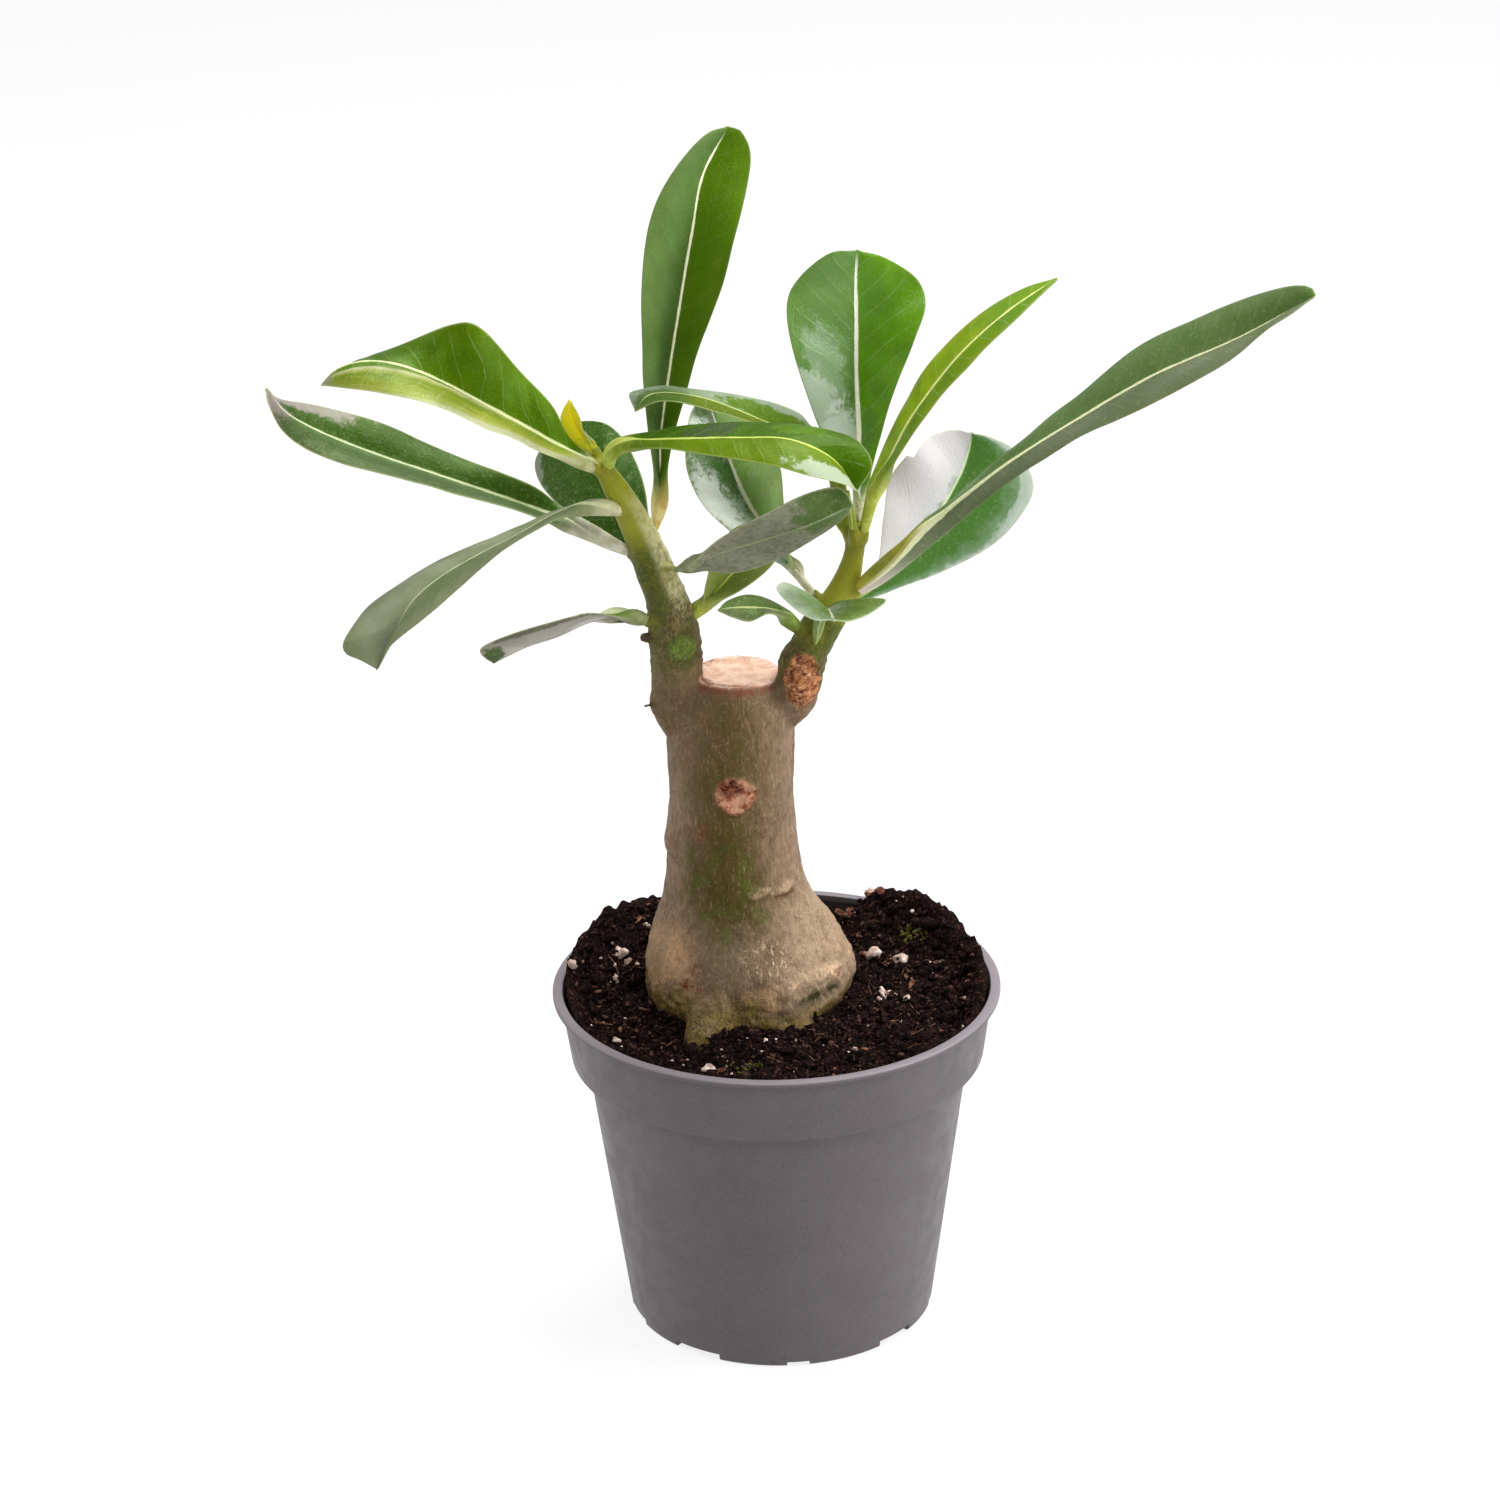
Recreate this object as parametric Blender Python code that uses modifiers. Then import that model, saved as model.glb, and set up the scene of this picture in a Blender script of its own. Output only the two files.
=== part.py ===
"""Desert rose (Adenium obesum) in a plastic nursery pot.

A swollen trunk that was cut level, two side stems that grew on from below the cut, nineteen
leaves, potting soil and the pot. Metres, +Z up. The origin is the middle of the pot's
underside, on the ground, and -Y is the front.
"""
from math import cos, pi, radians, sin

import bmesh
import bpy
import numpy as np

MM = 0.001
CLEARANCE = 0.3                 # mm, between two pieces that touch
MERGE = 0.00001                 # m, points closer than this are one point
SHARP_ANGLE = 35                # degrees, edges sharper than this stay sharp
CURVE_SAMPLES = 16              # samples between two knots of a smooth curve

# ---- pot (mm) -------------------------------------------------------------------------
POT_TOP = 82.5                  # height of the lip
LIP_RADIUS = 52.5               # a 10.5 cm pot
LIP_HEIGHT = 1.2
LIP_ROUNDING = 0.4              # the lip's rounded outer edge
LIP_UNDERCUT = 0.2              # its smaller lower edge
BAND_TOP_RADIUS = 50.7          # the wide band under the lip
BAND_LOW_RADIUS = 48.5
BAND_LOW = 65.8                 # height of the step under the band
WALL_TOP_RADIUS = 44.9          # the tapered wall under the band
STEP_FALL = 0.8
STEP_ROUNDING = 0.3
BASE_RADIUS = 36.0
BASE_CHAMFER = 0.6
WALL = 1.1
FLOOR_LOW = 2.2                 # underside of the floor, above the ground
FLOOR = 1.2
FOOT_WIDTH = 1.9                # width of the foot ring
PAD_RADIUS = 6.0                # the round middle foot
FOOT_DRAFT = 0.3                # slant of the sides of both feet
POT_STEPS = 60
NOTCHES = ((-34.3, 20.0, 1.9), (5.8, 8.6, 1.3), (47.7, 17.0, 1.9))   # azimuth, width (deg), height
NOTCH_REPEAT = 3
NOTCH_DEPTH = 8.0               # radial size of the cutter, past both sides of the foot ring
DRAIN_HOLES = 6
DRAIN_RADIUS = 3.5
DRAIN_CIRCLE = 24.0
DRAIN_SIDES = 16
DRAIN_DEPTH = 6.0

# ---- soil (mm) ------------------------------------------------------------------------
SOIL_MIDDLE = 77.6              # height of the soil at the trunk
SOIL_LEVEL_RADIUS = 18.0        # level up to here, all of it under the trunk
SOIL_SHOULDER = (36.0, 77.2)    # radius, height
SOIL_EDGE = 76.4                # height of the soil at the wall
SOIL_STEPS = 36

# ---- trunk (mm): height, x and y of the axis, radius ------------------------------------
TRUNK_RINGS = (
    (42, -7.0, 8, 3.0),
    (47, -7.0, 8, 8.0),
    (55, -7.0, 8, 15.0),
    (64, -7.0, 8, 20.5),
    (72, -6.7, 8, 23.6),
    (80, -6.4, 8, 24.7),
    (87, -6.2, 8, 24.3),
    (94, -7.2, 8, 22.2),
    (99, -7.9, 8, 19.7),
    (104, -8.9, 8, 17.2),
    (115, -9.6, 8, 15.2),
    (126, -9.9, 8, 14.8),
    (136, -9.8, 8, 14.8),
    (145, -9.4, 8, 14.4),
    (151, -8.7, 8, 13.0),
    (155, -8.0, 8, 11.2),
    (158, -7.8, 8, 9.9),
)
TRUNK_SIDES = 28
TRUNK_STATIONS = 30

# ---- stems (mm): x, y, height, radius ---------------------------------------------------
LEFT_STEM = (
    (-18.5, 8, 142, 4.6),
    (-21.3, 7, 150.5, 6.0),
    (-21.6, 6.5, 159, 5.9),
    (-21.6, 6, 167, 5.8),
    (-22.6, 5.5, 173.5, 4.9),
    (-24, 5, 179, 4.3),
    (-26, 4, 185.5, 4.1),
    (-28, 3, 191.5, 3.8),
    (-30.5, 2, 198, 3.4),
    (-33, 1, 203.5, 2.9),
    (-35.5, 0.5, 208.5, 2.5),
    (-36.8, 0.1, 211, 2.0),
    (-37.4, 0, 212.4, 1.2),
    (-37.6, 0, 213, 0.6),
)
RIGHT_STEM = (
    (2.5, 6.5, 144, 4.0),
    (6.2, 4.5, 152.5, 5.1),
    (7.4, 4, 161, 5.1),
    (9.4, 4, 166, 4.7),
    (12, 4, 171, 4.4),
    (15.2, 4, 176, 3.8),
    (17.4, 4, 181, 3.0),
    (18.8, 4, 186, 2.3),
    (19.6, 4, 190, 2.1),
    (20.2, 4, 193, 1.7),
    (20.4, 4, 194.4, 1.0),
    (20.5, 4, 195, 0.5),
)
STEM_SIDES = 12
STEM_STATIONS = 18

# ---- leaves (mm) ------------------------------------------------------------------------
# Each leaf is lofted between three smooth guide curves: its midrib, which starts inside the
# stem, and its two margins. "left" and "right" are seen from above, from the stem to the tip.
LEAF_THICKNESS = 0.7
PETIOLE_HALF = 1.2              # half the width of the stalk
TIP_HALF = 0.45                 # half the width of the point
TRIM_SAMPLES = 400              # rows looked at to find where a leaf clears its stem
ALONG = 12                      # faces along a leaf
ACROSS = 2                      # faces across each half

LEAF_ROUGHNESS = 0.3

DEEP_GREEN = (0.045, 0.13, 0.025)
MID_GREEN = (0.07, 0.2, 0.03)
YOUNG_GREEN = (0.22, 0.36, 0.03)
GREY_GREEN = (0.13, 0.16, 0.1)

LEAVES = {
    "left_folded_leaf": dict(
        stem="left_stem", colour=MID_GREEN,
        rib=((-36.5, 0, 209.5), (-46, -4.3, 217.6), (-59, -8, 227), (-69.5, -11, 234.5), (-80, -13, 240),
             (-87.5, -14, 241.5), (-93.5, -16, 240.5), (-97, -17, 237.5)),
        left=((-46, -7, 215.5), (-58.5, -17.5, 225.5), (-71, -24, 234), (-84, -23.5, 237.5),
              (-92.5, -21, 238)),
        right=((-44, 0, 218), (-47.5, -2.5, 227), (-54.5, -2, 235), (-62.5, -6.5, 246.5),
               (-69, -5.5, 247), (-81, -3.5, 241.5), (-90.5, -9, 239.5))),
    "left_long_leaf": dict(
        stem="left_stem", colour=DEEP_GREEN,
        rib=((-27.5, 3.5, 187.5), (-40.5, 3, 194.5), (-50.5, 3, 199.5), (-64.5, 3, 205), (-82.5, 1, 212.5),
             (-95.5, 0, 218.5), (-106, -3, 225.5), (-110.5, -6, 233)),
        left=((-38, 3, 190), (-51.5, -1.5, 200), (-64.5, -4, 205.5), (-81.5, -8, 212), (-97, -9, 217.5),
              (-106.5, -10, 224), (-110, -9.5, 230.5)),
        right=((-38, 3, 196.5), (-47, 5.5, 200.5), (-53.5, 5.5, 205.5), (-69.5, 8.5, 211.5),
               (-88, 8, 220.5), (-100, 5.5, 225), (-108, 0.5, 228.5))),
    "left_drooping_leaf": dict(
        stem="left_stem", colour=GREY_GREEN,
        rib=((-30, 1, 199.5), (-37.5, -3, 203), (-44.5, -6, 203.5), (-57.5, -13, 199), (-70.5, -19, 194),
             (-78.5, -24, 189), (-83, -28, 182.5), (-87, -31, 176)),
        left=((-40, -5, 201.5), (-48.5, -13.5, 203), (-59.5, -22.5, 199.5), (-68, -28.5, 193.5),
              (-76.5, -36.5, 189), (-83, -38, 184)),
        right=((-37.5, -1, 203.5), (-45.5, -3, 203), (-60, -6.5, 198), (-76, -10, 192),
               (-88, -17.5, 186.5), (-93.5, -30, 183.5), (-94, -31, 180), (-90.5, -31, 178))),
    "left_low_leaf": dict(
        stem="left_stem", colour=GREY_GREEN,
        rib=((-23, 4.5, 171), (-34, 0, 175.5), (-40.5, -3, 175.5), (-47.5, -6, 173.5), (-54.5, -8, 172),
             (-59, -9.5, 170.3), (-62.5, -9.5, 168.5)),
        left=((-38.5, 0, 174.5), (-48, 2, 171), (-56, 0, 170.5), (-60.5, -4, 169.3)),
        right=((-38.5, -5, 178), (-45, -9, 179), (-56, -12.5, 177.5), (-63.5, -10.5, 173.5),
               (-65.5, -11, 172), (-64.5, -10.5, 170))),
    "tall_upright_leaf": dict(
        stem="left_stem", colour=DEEP_GREEN,
        rib=((-27.5, 4, 190), (-24.5, 9, 200), (-24, 10, 214), (-21.5, 11, 230), (-18.5, 13, 247),
             (-16, 15, 260.5), (-13.5, 18, 273), (-7.5, 20, 283.5)),
        left=((-25.5, 7.5, 199.5), (-26.5, 6.5, 215), (-27.5, 5.5, 232), (-27.5, 6, 246),
              (-26.5, 7, 259), (-24, 7.5, 269), (-19, 9, 277.5), (-12.5, 13, 283.5)),
        right=((-24, 7, 199.5), (-21, 6.5, 215), (-15.5, 4.5, 234.5), (-11, 5, 246.5), (-7, 7, 259.5),
               (-3.5, 15.5, 270.5), (-2.5, 19.5, 277.5), (-4.5, 20, 282.5))),
    "left_back_leaf": dict(
        stem="left_stem", colour=DEEP_GREEN,
        rib=((-26.5, 5, 186), (-30.5, 16, 193), (-36.5, 26, 197.5), (-42, 37, 201), (-48.5, 46, 204)),
        left=((-32, 10, 187.5), (-40, 19, 189), (-48, 29, 191.5), (-53, 40.5, 193), (-54.5, 45.5, 196.5),
              (-52.5, 46, 200.5)),
        right=((-27, 12, 195), (-29, 28.5, 199), (-32.5, 40, 202.5), (-37.5, 46.5, 205.5),
               (-43.5, 49, 205.5))),
    "centre_arching_leaf": dict(
        stem="left_stem", colour=MID_GREEN,
        rib=((-35.5, 0, 209), (-35, -4, 216), (-30.5, -8, 219.5), (-19, -14, 222), (-6, -18, 223.5),
             (5, -21, 224), (14, -22, 220), (19.5, -22, 212.5)),
        left=((-35.5, -2.5, 216.5), (-28, -6.5, 221), (-19, -8.5, 223.5), (-6, -9.5, 224.5),
              (7.5, -11.5, 224.5), (18.5, -15, 222.5), (23, -20.5, 218.5), (21.5, -22, 215)),
        right=((-33, -6.5, 216), (-23.5, -16.5, 221), (-14.5, -22, 221.5), (-1.5, -27.5, 221),
               (9, -29.5, 218.5), (17, -27, 215.5))),
    "centre_front_leaf": dict(
        stem="left_stem", colour=GREY_GREEN,
        rib=((-25, 3.5, 184), (-17.5, -4, 189), (-11, -8, 193.5), (-2, -12, 197.5), (7, -16, 202),
             (14, -19, 206), (18.5, -20, 208.5)),
        left=((-17.5, -6, 190.5), (-9.5, -14.5, 200), (-2, -19.5, 206), (7, -21.5, 211),
              (14.5, -19.5, 212.5), (17.5, -20, 211)),
        right=((-16.5, -2, 187), (-7.5, -6, 187.5), (2.5, -7, 191), (11.5, -11, 198), (17, -15.5, 204))),
    "centre_lower_leaf": dict(
        stem="left_stem", colour=DEEP_GREEN,
        rib=((-21, 5.5, 169.5), (-12.5, 7, 178), (-7, 6.5, 184.5), (-2.5, 6, 189), (0, 5.5, 191.5)),
        left=((-16, 5, 175.5), (-14.5, 4, 181.5), (-12.5, 3.5, 188.5), (-9, 4, 193.5),
              (-4.5, 4.5, 195.5)),
        right=((-13, 5, 175.5), (-6.5, 4, 179.5), (-1.2, 4, 183.5), (1.7, 4.5, 186.8), (2.4, 5, 189.5))),
    "left_young_leaf": dict(
        stem="left_stem", colour=YOUNG_GREEN,
        rib=((-36.6, 1.6, 210), (-39.5, 2.2, 216), (-42.5, 2.4, 221), (-44, 3, 226)),
        left=((-39.5, 2.2, 213), (-44, 2.2, 217), (-46, 2.2, 221.5), (-45.5, 2.6, 224)),
        right=((-37.5, 1.8, 214), (-40.5, 0.2, 219), (-41.5, 0.2, 223), (-43, 1.5, 225.5))),
    "centre_upper_leaf": dict(
        stem="right_stem", colour=MID_GREEN,
        rib=((18.9, 4.8, 190), (16.4, 4, 198.5), (15.5, 1, 208.5), (10.5, -0.5, 215.5), (-2, 0, 221.5),
             (-12, 0, 226), (-20.5, -1, 228.5), (-26, -2, 228.5), (-29, -3, 225.5)),
        left=((13.5, -2, 211), (5, -4, 218), (-6, -5, 223.5), (-17, -7, 228), (-23.5, -6, 228.5)),
        right=((16, 1.5, 212.5), (10, 2.5, 219), (6.5, 3, 222.5), (-3.5, 5, 225.5), (-13.5, 4.5, 227.5),
               (-22.5, 2, 229.5), (-28.5, 0.5, 229), (-30.5, -1, 228.5))),
    "centre_back_leaf": dict(
        stem="right_stem", colour=DEEP_GREEN,
        rib=((13, 5, 173.5), (6, 8.2, 182.8), (1.5, 11.5, 189), (-3, 17, 193.5), (-6, 20, 198.5),
             (-9, 23, 206), (-11.5, 27, 212.5), (-13, 29, 216.5)),
        left=((4.4, 7.6, 182.8), (-1, 7, 186.5), (-10, 9.5, 193), (-15.5, 13, 198), (-18.5, 16.5, 204.5),
              (-18.5, 21, 210), (-17.5, 28.5, 213.5), (-15.5, 29, 216.5)),
        right=((7.6, 7.6, 181.9), (4, 6, 189.5), (3.5, 9, 199.5), (3, 12, 205.5), (0.5, 15.5, 212),
               (-4, 21, 216), (-9.5, 24.5, 218))),
    "centre_small_leaf": dict(
        stem="right_stem", colour=DEEP_GREEN,
        rib=((9.5, 3.5, 167), (4.5, 1, 173), (1, -2, 176.5), (-5.5, -6, 179), (-11.5, -8, 179.5)),
        left=((4.5, -0.5, 173), (0, -7, 178), (-4.5, -9, 177), (-8.5, -10, 178.5)),
        right=((3.5, 2.5, 175), (0, 1.5, 178), (-5, -1.5, 180.5), (-9.5, -4.5, 180.5))),
    "right_near_leaf": dict(
        stem="right_stem", colour=MID_GREEN,
        rib=((9.8, 2, 166.5), (10.5, -3, 173), (12, -7, 177.5), (13, -15, 181.5), (14, -30, 185)),
        left=((13.7, -8.2, 179.6), (18, -12, 183), (23.5, -17, 185), (26, -20, 185.5), (23, -25, 185),
              (17.5, -29, 184.5)),
        right=((10.5, -8.4, 179.8), (7, -12, 185), (3.5, -16, 189), (1.5, -19, 188.5), (4, -24, 187),
               (9.5, -29, 185))),
    "right_upright_leaf": dict(
        stem="right_stem", colour=MID_GREEN,
        rib=((20.2, 5, 190), (21, 8, 201.5), (21, 10, 213), (20.5, 12, 226.5), (20.5, 14, 240),
             (20.5, 15, 250), (21, 15, 256)),
        left=((19.3, 7, 203), (13, 6, 214.5), (9, 5, 226), (6, 6, 236.5), (5, 9.5, 245),
              (7.5, 11.5, 250.5), (14.5, 13, 256)),
        right=((22.8, 7, 203), (26, 5, 217.5), (29.5, 4.5, 229), (33.5, 5, 238.5), (36, 10.5, 244.5),
               (34, 13, 250), (27, 14, 254.5))),
    "right_narrow_leaf": dict(
        stem="right_stem", colour=YOUNG_GREEN,
        rib=((20.8, 3.6, 190), (21.6, 1, 195.5), (23.2, -2, 203), (27, -4, 212), (32, -6, 223),
             (38, -7, 232), (45, -8, 240.5), (53, -9, 248), (64, -9, 256)),
        left=((22, -0.8, 202.5), (25.5, 0, 214), (31, 0.5, 225.5), (37.5, -1, 236),
              (46.5, -2.5, 245.5), (56, -4.5, 252)),
        right=((24.3, -3, 202.5), (27.5, -7.5, 212), (33, -12, 223), (39, -13.5, 232),
               (47, -14, 240.5), (56, -13, 249))),
    "right_long_leaf": dict(
        stem="right_stem", colour=GREY_GREEN,
        rib=((17.5, 3, 178), (26, -1, 186), (38.5, -4, 199.5), (51.5, -8, 211.5), (69, -12, 224.5),
             (86, -16, 236), (103, -20, 245), (119, -22, 255)),
        left=((26, -1.5, 189.5), (38.5, -0.5, 200), (52, -2, 212.5), (67.5, -3.5, 226), (82.5, -7.5, 240),
              (99.5, -13, 250), (111.5, -18.5, 256), (117.5, -21, 257.1)),
        right=((26, -0.5, 182.5), (38.5, -3.5, 194), (51.5, -12.5, 208.5), (66.5, -19.5, 221.5),
               (83.5, -25, 232), (98, -28.5, 241.6), (110.5, -27.5, 250.9))),
    "right_back_leaf": dict(
        stem="right_stem", colour=DEEP_GREEN,
        rib=((16, 4.5, 174), (30, 9, 186), (38, 12, 194), (43, 14, 201.5), (45.5, 15, 207.5),
             (46.5, 15, 212.5)),
        left=((24, 5.5, 182.5), (26, 5, 196), (27.5, 7, 204.5), (32.5, 6.5, 211.5), (36.5, 12, 213),
              (42, 15, 213.5)),
        right=((28.5, 8, 177.5), (40, 11.5, 180.5), (51.5, 12.5, 186.5), (58.5, 14, 194), (60.5, 15, 200.5),
               (56.5, 15, 208), (50.5, 15, 211.5))),
    "right_young_leaf": dict(
        stem="right_stem", colour=YOUNG_GREEN,
        rib=((19.6, 2.6, 190.5), (18.9, -1.1, 198.5), (18, -1.5, 205)),
        left=((18.1, -0.9, 199.5), (17.2, -1.2, 202.5)),
        right=((19.7, -1.2, 198.5), (18.8, -1.4, 202.5))),
}


# ---- scene ------------------------------------------------------------------------------
def clear_scene():
    for obj in list(bpy.data.objects):
        bpy.data.objects.remove(obj, do_unlink=True)


def collection(name):
    found = bpy.data.collections.new(name)
    bpy.context.scene.collection.children.link(found)
    return found


def material(name, colour, roughness):
    made = bpy.data.materials.new(name)
    made.use_nodes = True
    shader = made.node_tree.nodes["Principled BSDF"]
    shader.inputs["Base Color"].default_value = (*colour, 1.0)
    shader.inputs["Roughness"].default_value = roughness
    shader.inputs["Metallic"].default_value = 0.0
    return made


def mesh_object(name, group, mesh, finish=None):
    obj = bpy.data.objects.new(name, mesh)
    group.objects.link(obj)
    if finish:
        mesh.materials.append(finish)
    mesh.shade_smooth()
    mesh.set_sharp_from_angle(angle=radians(SHARP_ANGLE))
    return obj


def hide_cutter(obj):
    obj.hide_render = True
    obj.display_type = "WIRE"


def move_to(obj, group):
    """Put a new primitive in a collection and hide it as a cutter."""
    for old in list(obj.users_collection):
        old.objects.unlink(obj)
    group.objects.link(obj)
    hide_cutter(obj)


def cut(obj, cutter):
    modifier = obj.modifiers.new("cut_" + cutter.name, "BOOLEAN")
    modifier.operation = "DIFFERENCE"
    modifier.solver = "EXACT"
    modifier.object = cutter


# ---- smooth curves ----------------------------------------------------------------------
def smooth_points(points, count):
    """count + 1 points, evenly spaced, on the Catmull-Rom curve through the points."""
    knots = np.array(points, float)
    if len(knots) == 2:
        knots = np.array((knots[0], knots.mean(axis=0), knots[1]))
    knots = np.vstack((2 * knots[0] - knots[1], knots, 2 * knots[-1] - knots[-2]))
    fine = []
    for before, start, end, after in zip(knots, knots[1:], knots[2:], knots[3:]):
        for t in np.linspace(0, 1, CURVE_SAMPLES, endpoint=False):
            fine.append(0.5 * (2 * start + (end - before) * t
                               + (2 * before - 5 * start + 4 * end - after) * t ** 2
                               + (3 * start - before - 3 * end + after) * t ** 3))
    fine.append(knots[-2])
    fine = np.array(fine)
    steps = np.linalg.norm(np.diff(fine[:, :3], axis=0), axis=1)
    travelled = np.concatenate(((0.0,), np.cumsum(steps)))
    stations = np.linspace(0, travelled[-1], count + 1)
    return np.stack([np.interp(stations, travelled, column) for column in fine.T], axis=-1)


def tube(name, group, knots, sides, stations, finish=None, grow=0.0):
    """A closed round body along a smooth curve. Each knot is x, y, z and a radius, in mm.

    grow makes it that much larger all round, at its two ends too.
    """
    data = bpy.data.curves.new(name, "CURVE")
    data.dimensions = "3D"
    data.bevel_depth = MM
    data.bevel_resolution = sides // 2 - 2
    data.use_fill_caps = True
    points = smooth_points(knots, stations)
    for end, inner in ((0, 1), (-1, -2)):
        outwards = points[end, :3] - points[inner, :3]
        points[end, :3] += outwards / np.linalg.norm(outwards) * grow
    spline = data.splines.new("POLY")
    spline.points.add(len(points) - 1)
    for target, (x, y, z, radius) in zip(spline.points, points):
        target.co = (x * MM, y * MM, z * MM, 1.0)
        target.radius = radius + grow
    curve = bpy.data.objects.new(name + "_curve", data)
    group.objects.link(curve)
    mesh = bpy.data.meshes.new_from_object(curve.evaluated_get(bpy.context.evaluated_depsgraph_get()))
    body = bmesh.new()
    body.from_mesh(mesh)
    bmesh.ops.remove_doubles(body, verts=body.verts, dist=MERGE)
    bmesh.ops.recalc_face_normals(body, faces=body.faces)
    body.to_mesh(mesh)
    body.free()
    bpy.data.objects.remove(curve, do_unlink=True)
    mesh.name = name
    return mesh_object(name, group, mesh, finish)


def turned(name, group, profile, steps, finish=None):
    """A turned body. The profile's points are radius and height in mm, outer side downwards."""
    mesh = bpy.data.meshes.new(name)
    vertices = [(radius * MM, 0.0, height * MM) for radius, height in profile]
    mesh.from_pydata(vertices, [(i, i + 1) for i in range(len(vertices) - 1)], [])
    obj = bpy.data.objects.new(name, mesh)
    group.objects.link(obj)
    if finish:
        mesh.materials.append(finish)
    screw = obj.modifiers.new("turn", "SCREW")
    screw.steps = steps
    screw.render_steps = steps
    screw.use_merge_vertices = True
    screw.merge_threshold = MERGE
    screw.use_smooth_shade = True
    return obj


# ---- pieces -----------------------------------------------------------------------------
def wall_radius(height):
    """Outer radius of the tapered wall under the band."""
    share = height / (BAND_LOW - STEP_FALL)
    return BASE_RADIUS + (WALL_TOP_RADIUS - BASE_RADIUS) * share


def band_radius(height):
    """Outer radius of the band under the lip."""
    share = (height - BAND_LOW) / (POT_TOP - LIP_HEIGHT - BAND_LOW)
    return BAND_LOW_RADIUS + (BAND_TOP_RADIUS - BAND_LOW_RADIUS) * share


def inner_profile(inset, floor, top):
    """The pot's inner side moved inwards by inset, from the floor up to top."""
    low = BAND_LOW - STEP_FALL + WALL
    high = BAND_LOW + WALL
    return [
        (wall_radius(floor) - WALL - inset, floor),
        (WALL_TOP_RADIUS - WALL - inset, low),
        (band_radius(high) - WALL - inset, high),
        (band_radius(top) - WALL - inset, top),
    ]


def make_pot(parts, cutters, finish):
    floor_top = FLOOR_LOW + FLOOR
    lip_low = POT_TOP - LIP_HEIGHT
    lip_inner = band_radius(lip_low) - WALL
    foot_inner = BASE_RADIUS - BASE_CHAMFER - FOOT_WIDTH
    profile = [(0, floor_top)] + inner_profile(0, floor_top, lip_low) + [
        (lip_inner + LIP_ROUNDING, POT_TOP - LIP_UNDERCUT),
        (lip_inner + 2 * LIP_ROUNDING, POT_TOP),
        (LIP_RADIUS - LIP_ROUNDING, POT_TOP),
        (LIP_RADIUS, POT_TOP - LIP_ROUNDING),
        (LIP_RADIUS, lip_low + LIP_UNDERCUT),
        (LIP_RADIUS - LIP_UNDERCUT, lip_low),
        (band_radius(lip_low), lip_low),
        (band_radius(BAND_LOW), BAND_LOW),
        (band_radius(BAND_LOW) - STEP_ROUNDING, BAND_LOW - STEP_ROUNDING),
        (WALL_TOP_RADIUS, BAND_LOW - STEP_FALL),
        (wall_radius(BASE_CHAMFER), BASE_CHAMFER),
        (BASE_RADIUS - BASE_CHAMFER, 0),
        (foot_inner, 0),
        (foot_inner - FOOT_DRAFT, FLOOR_LOW),
        (PAD_RADIUS + FOOT_DRAFT, FLOOR_LOW),
        (PAD_RADIUS, 0),
        (0, 0),
    ]
    pot = turned("pot", parts, profile, POT_STEPS, finish)
    for turn in range(NOTCH_REPEAT):
        for number, (azimuth, width, height) in enumerate(NOTCHES):
            angle = radians(azimuth + 360 / NOTCH_REPEAT * turn)
            bpy.ops.mesh.primitive_cube_add(size=1)
            notch = bpy.context.object
            notch.name = f"notch_{turn}_{number}"
            across = 2 * BASE_RADIUS * sin(radians(width / 2))
            notch.scale = (across * MM, NOTCH_DEPTH * MM, 2 * height * MM)
            reach = BASE_RADIUS * MM
            notch.location = (reach * sin(angle), -reach * cos(angle), 0)
            notch.rotation_euler = (0, 0, angle)
            move_to(notch, cutters)
            cut(pot, notch)
    for number in range(DRAIN_HOLES):
        angle = 2 * pi * (number + 0.5) / DRAIN_HOLES
        bpy.ops.mesh.primitive_cylinder_add(vertices=DRAIN_SIDES, radius=DRAIN_RADIUS * MM,
                                            depth=DRAIN_DEPTH * MM)
        hole = bpy.context.object
        hole.name = f"drain_{number}"
        hole.location = (DRAIN_CIRCLE * cos(angle) * MM, DRAIN_CIRCLE * sin(angle) * MM, FLOOR_LOW * MM)
        move_to(hole, cutters)
        cut(pot, hole)
    return pot


def make_soil(parts, finish, trunk_space):
    floor = FLOOR_LOW + FLOOR + CLEARANCE
    side = inner_profile(CLEARANCE, floor, SOIL_EDGE)
    for step in (1, 2):
        side[step] = (side[step][0], side[step][1] + CLEARANCE)
    top = [(0, SOIL_MIDDLE), (SOIL_LEVEL_RADIUS, SOIL_MIDDLE), SOIL_SHOULDER]
    profile = top + side[::-1] + [(0, floor)]
    soil = turned("soil", parts, profile, SOIL_STEPS, finish)
    cut(soil, trunk_space)
    return soil


def leaf_guides(spec):
    """The midrib and the two margins, as rows of evenly spaced points."""
    rib = np.array(spec["rib"], float)
    heading = rib[1] - rib[0]
    heading /= np.linalg.norm(heading)
    left = np.array(spec["left"], float)
    right = np.array(spec["right"], float)
    stalk = left[0] - right[0]
    stalk -= stalk.dot(heading) * heading
    stalk *= PETIOLE_HALF / np.linalg.norm(stalk)
    tip = left[-1] - right[-1]
    tip *= TIP_HALF / np.linalg.norm(tip)
    left = np.vstack((rib[0] + stalk, left, rib[-1] + tip))
    right = np.vstack((rib[0] - stalk, right, rib[-1] - tip))
    return [smooth_points(guide, TRIM_SAMPLES) for guide in (left, rib, right)]


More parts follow.
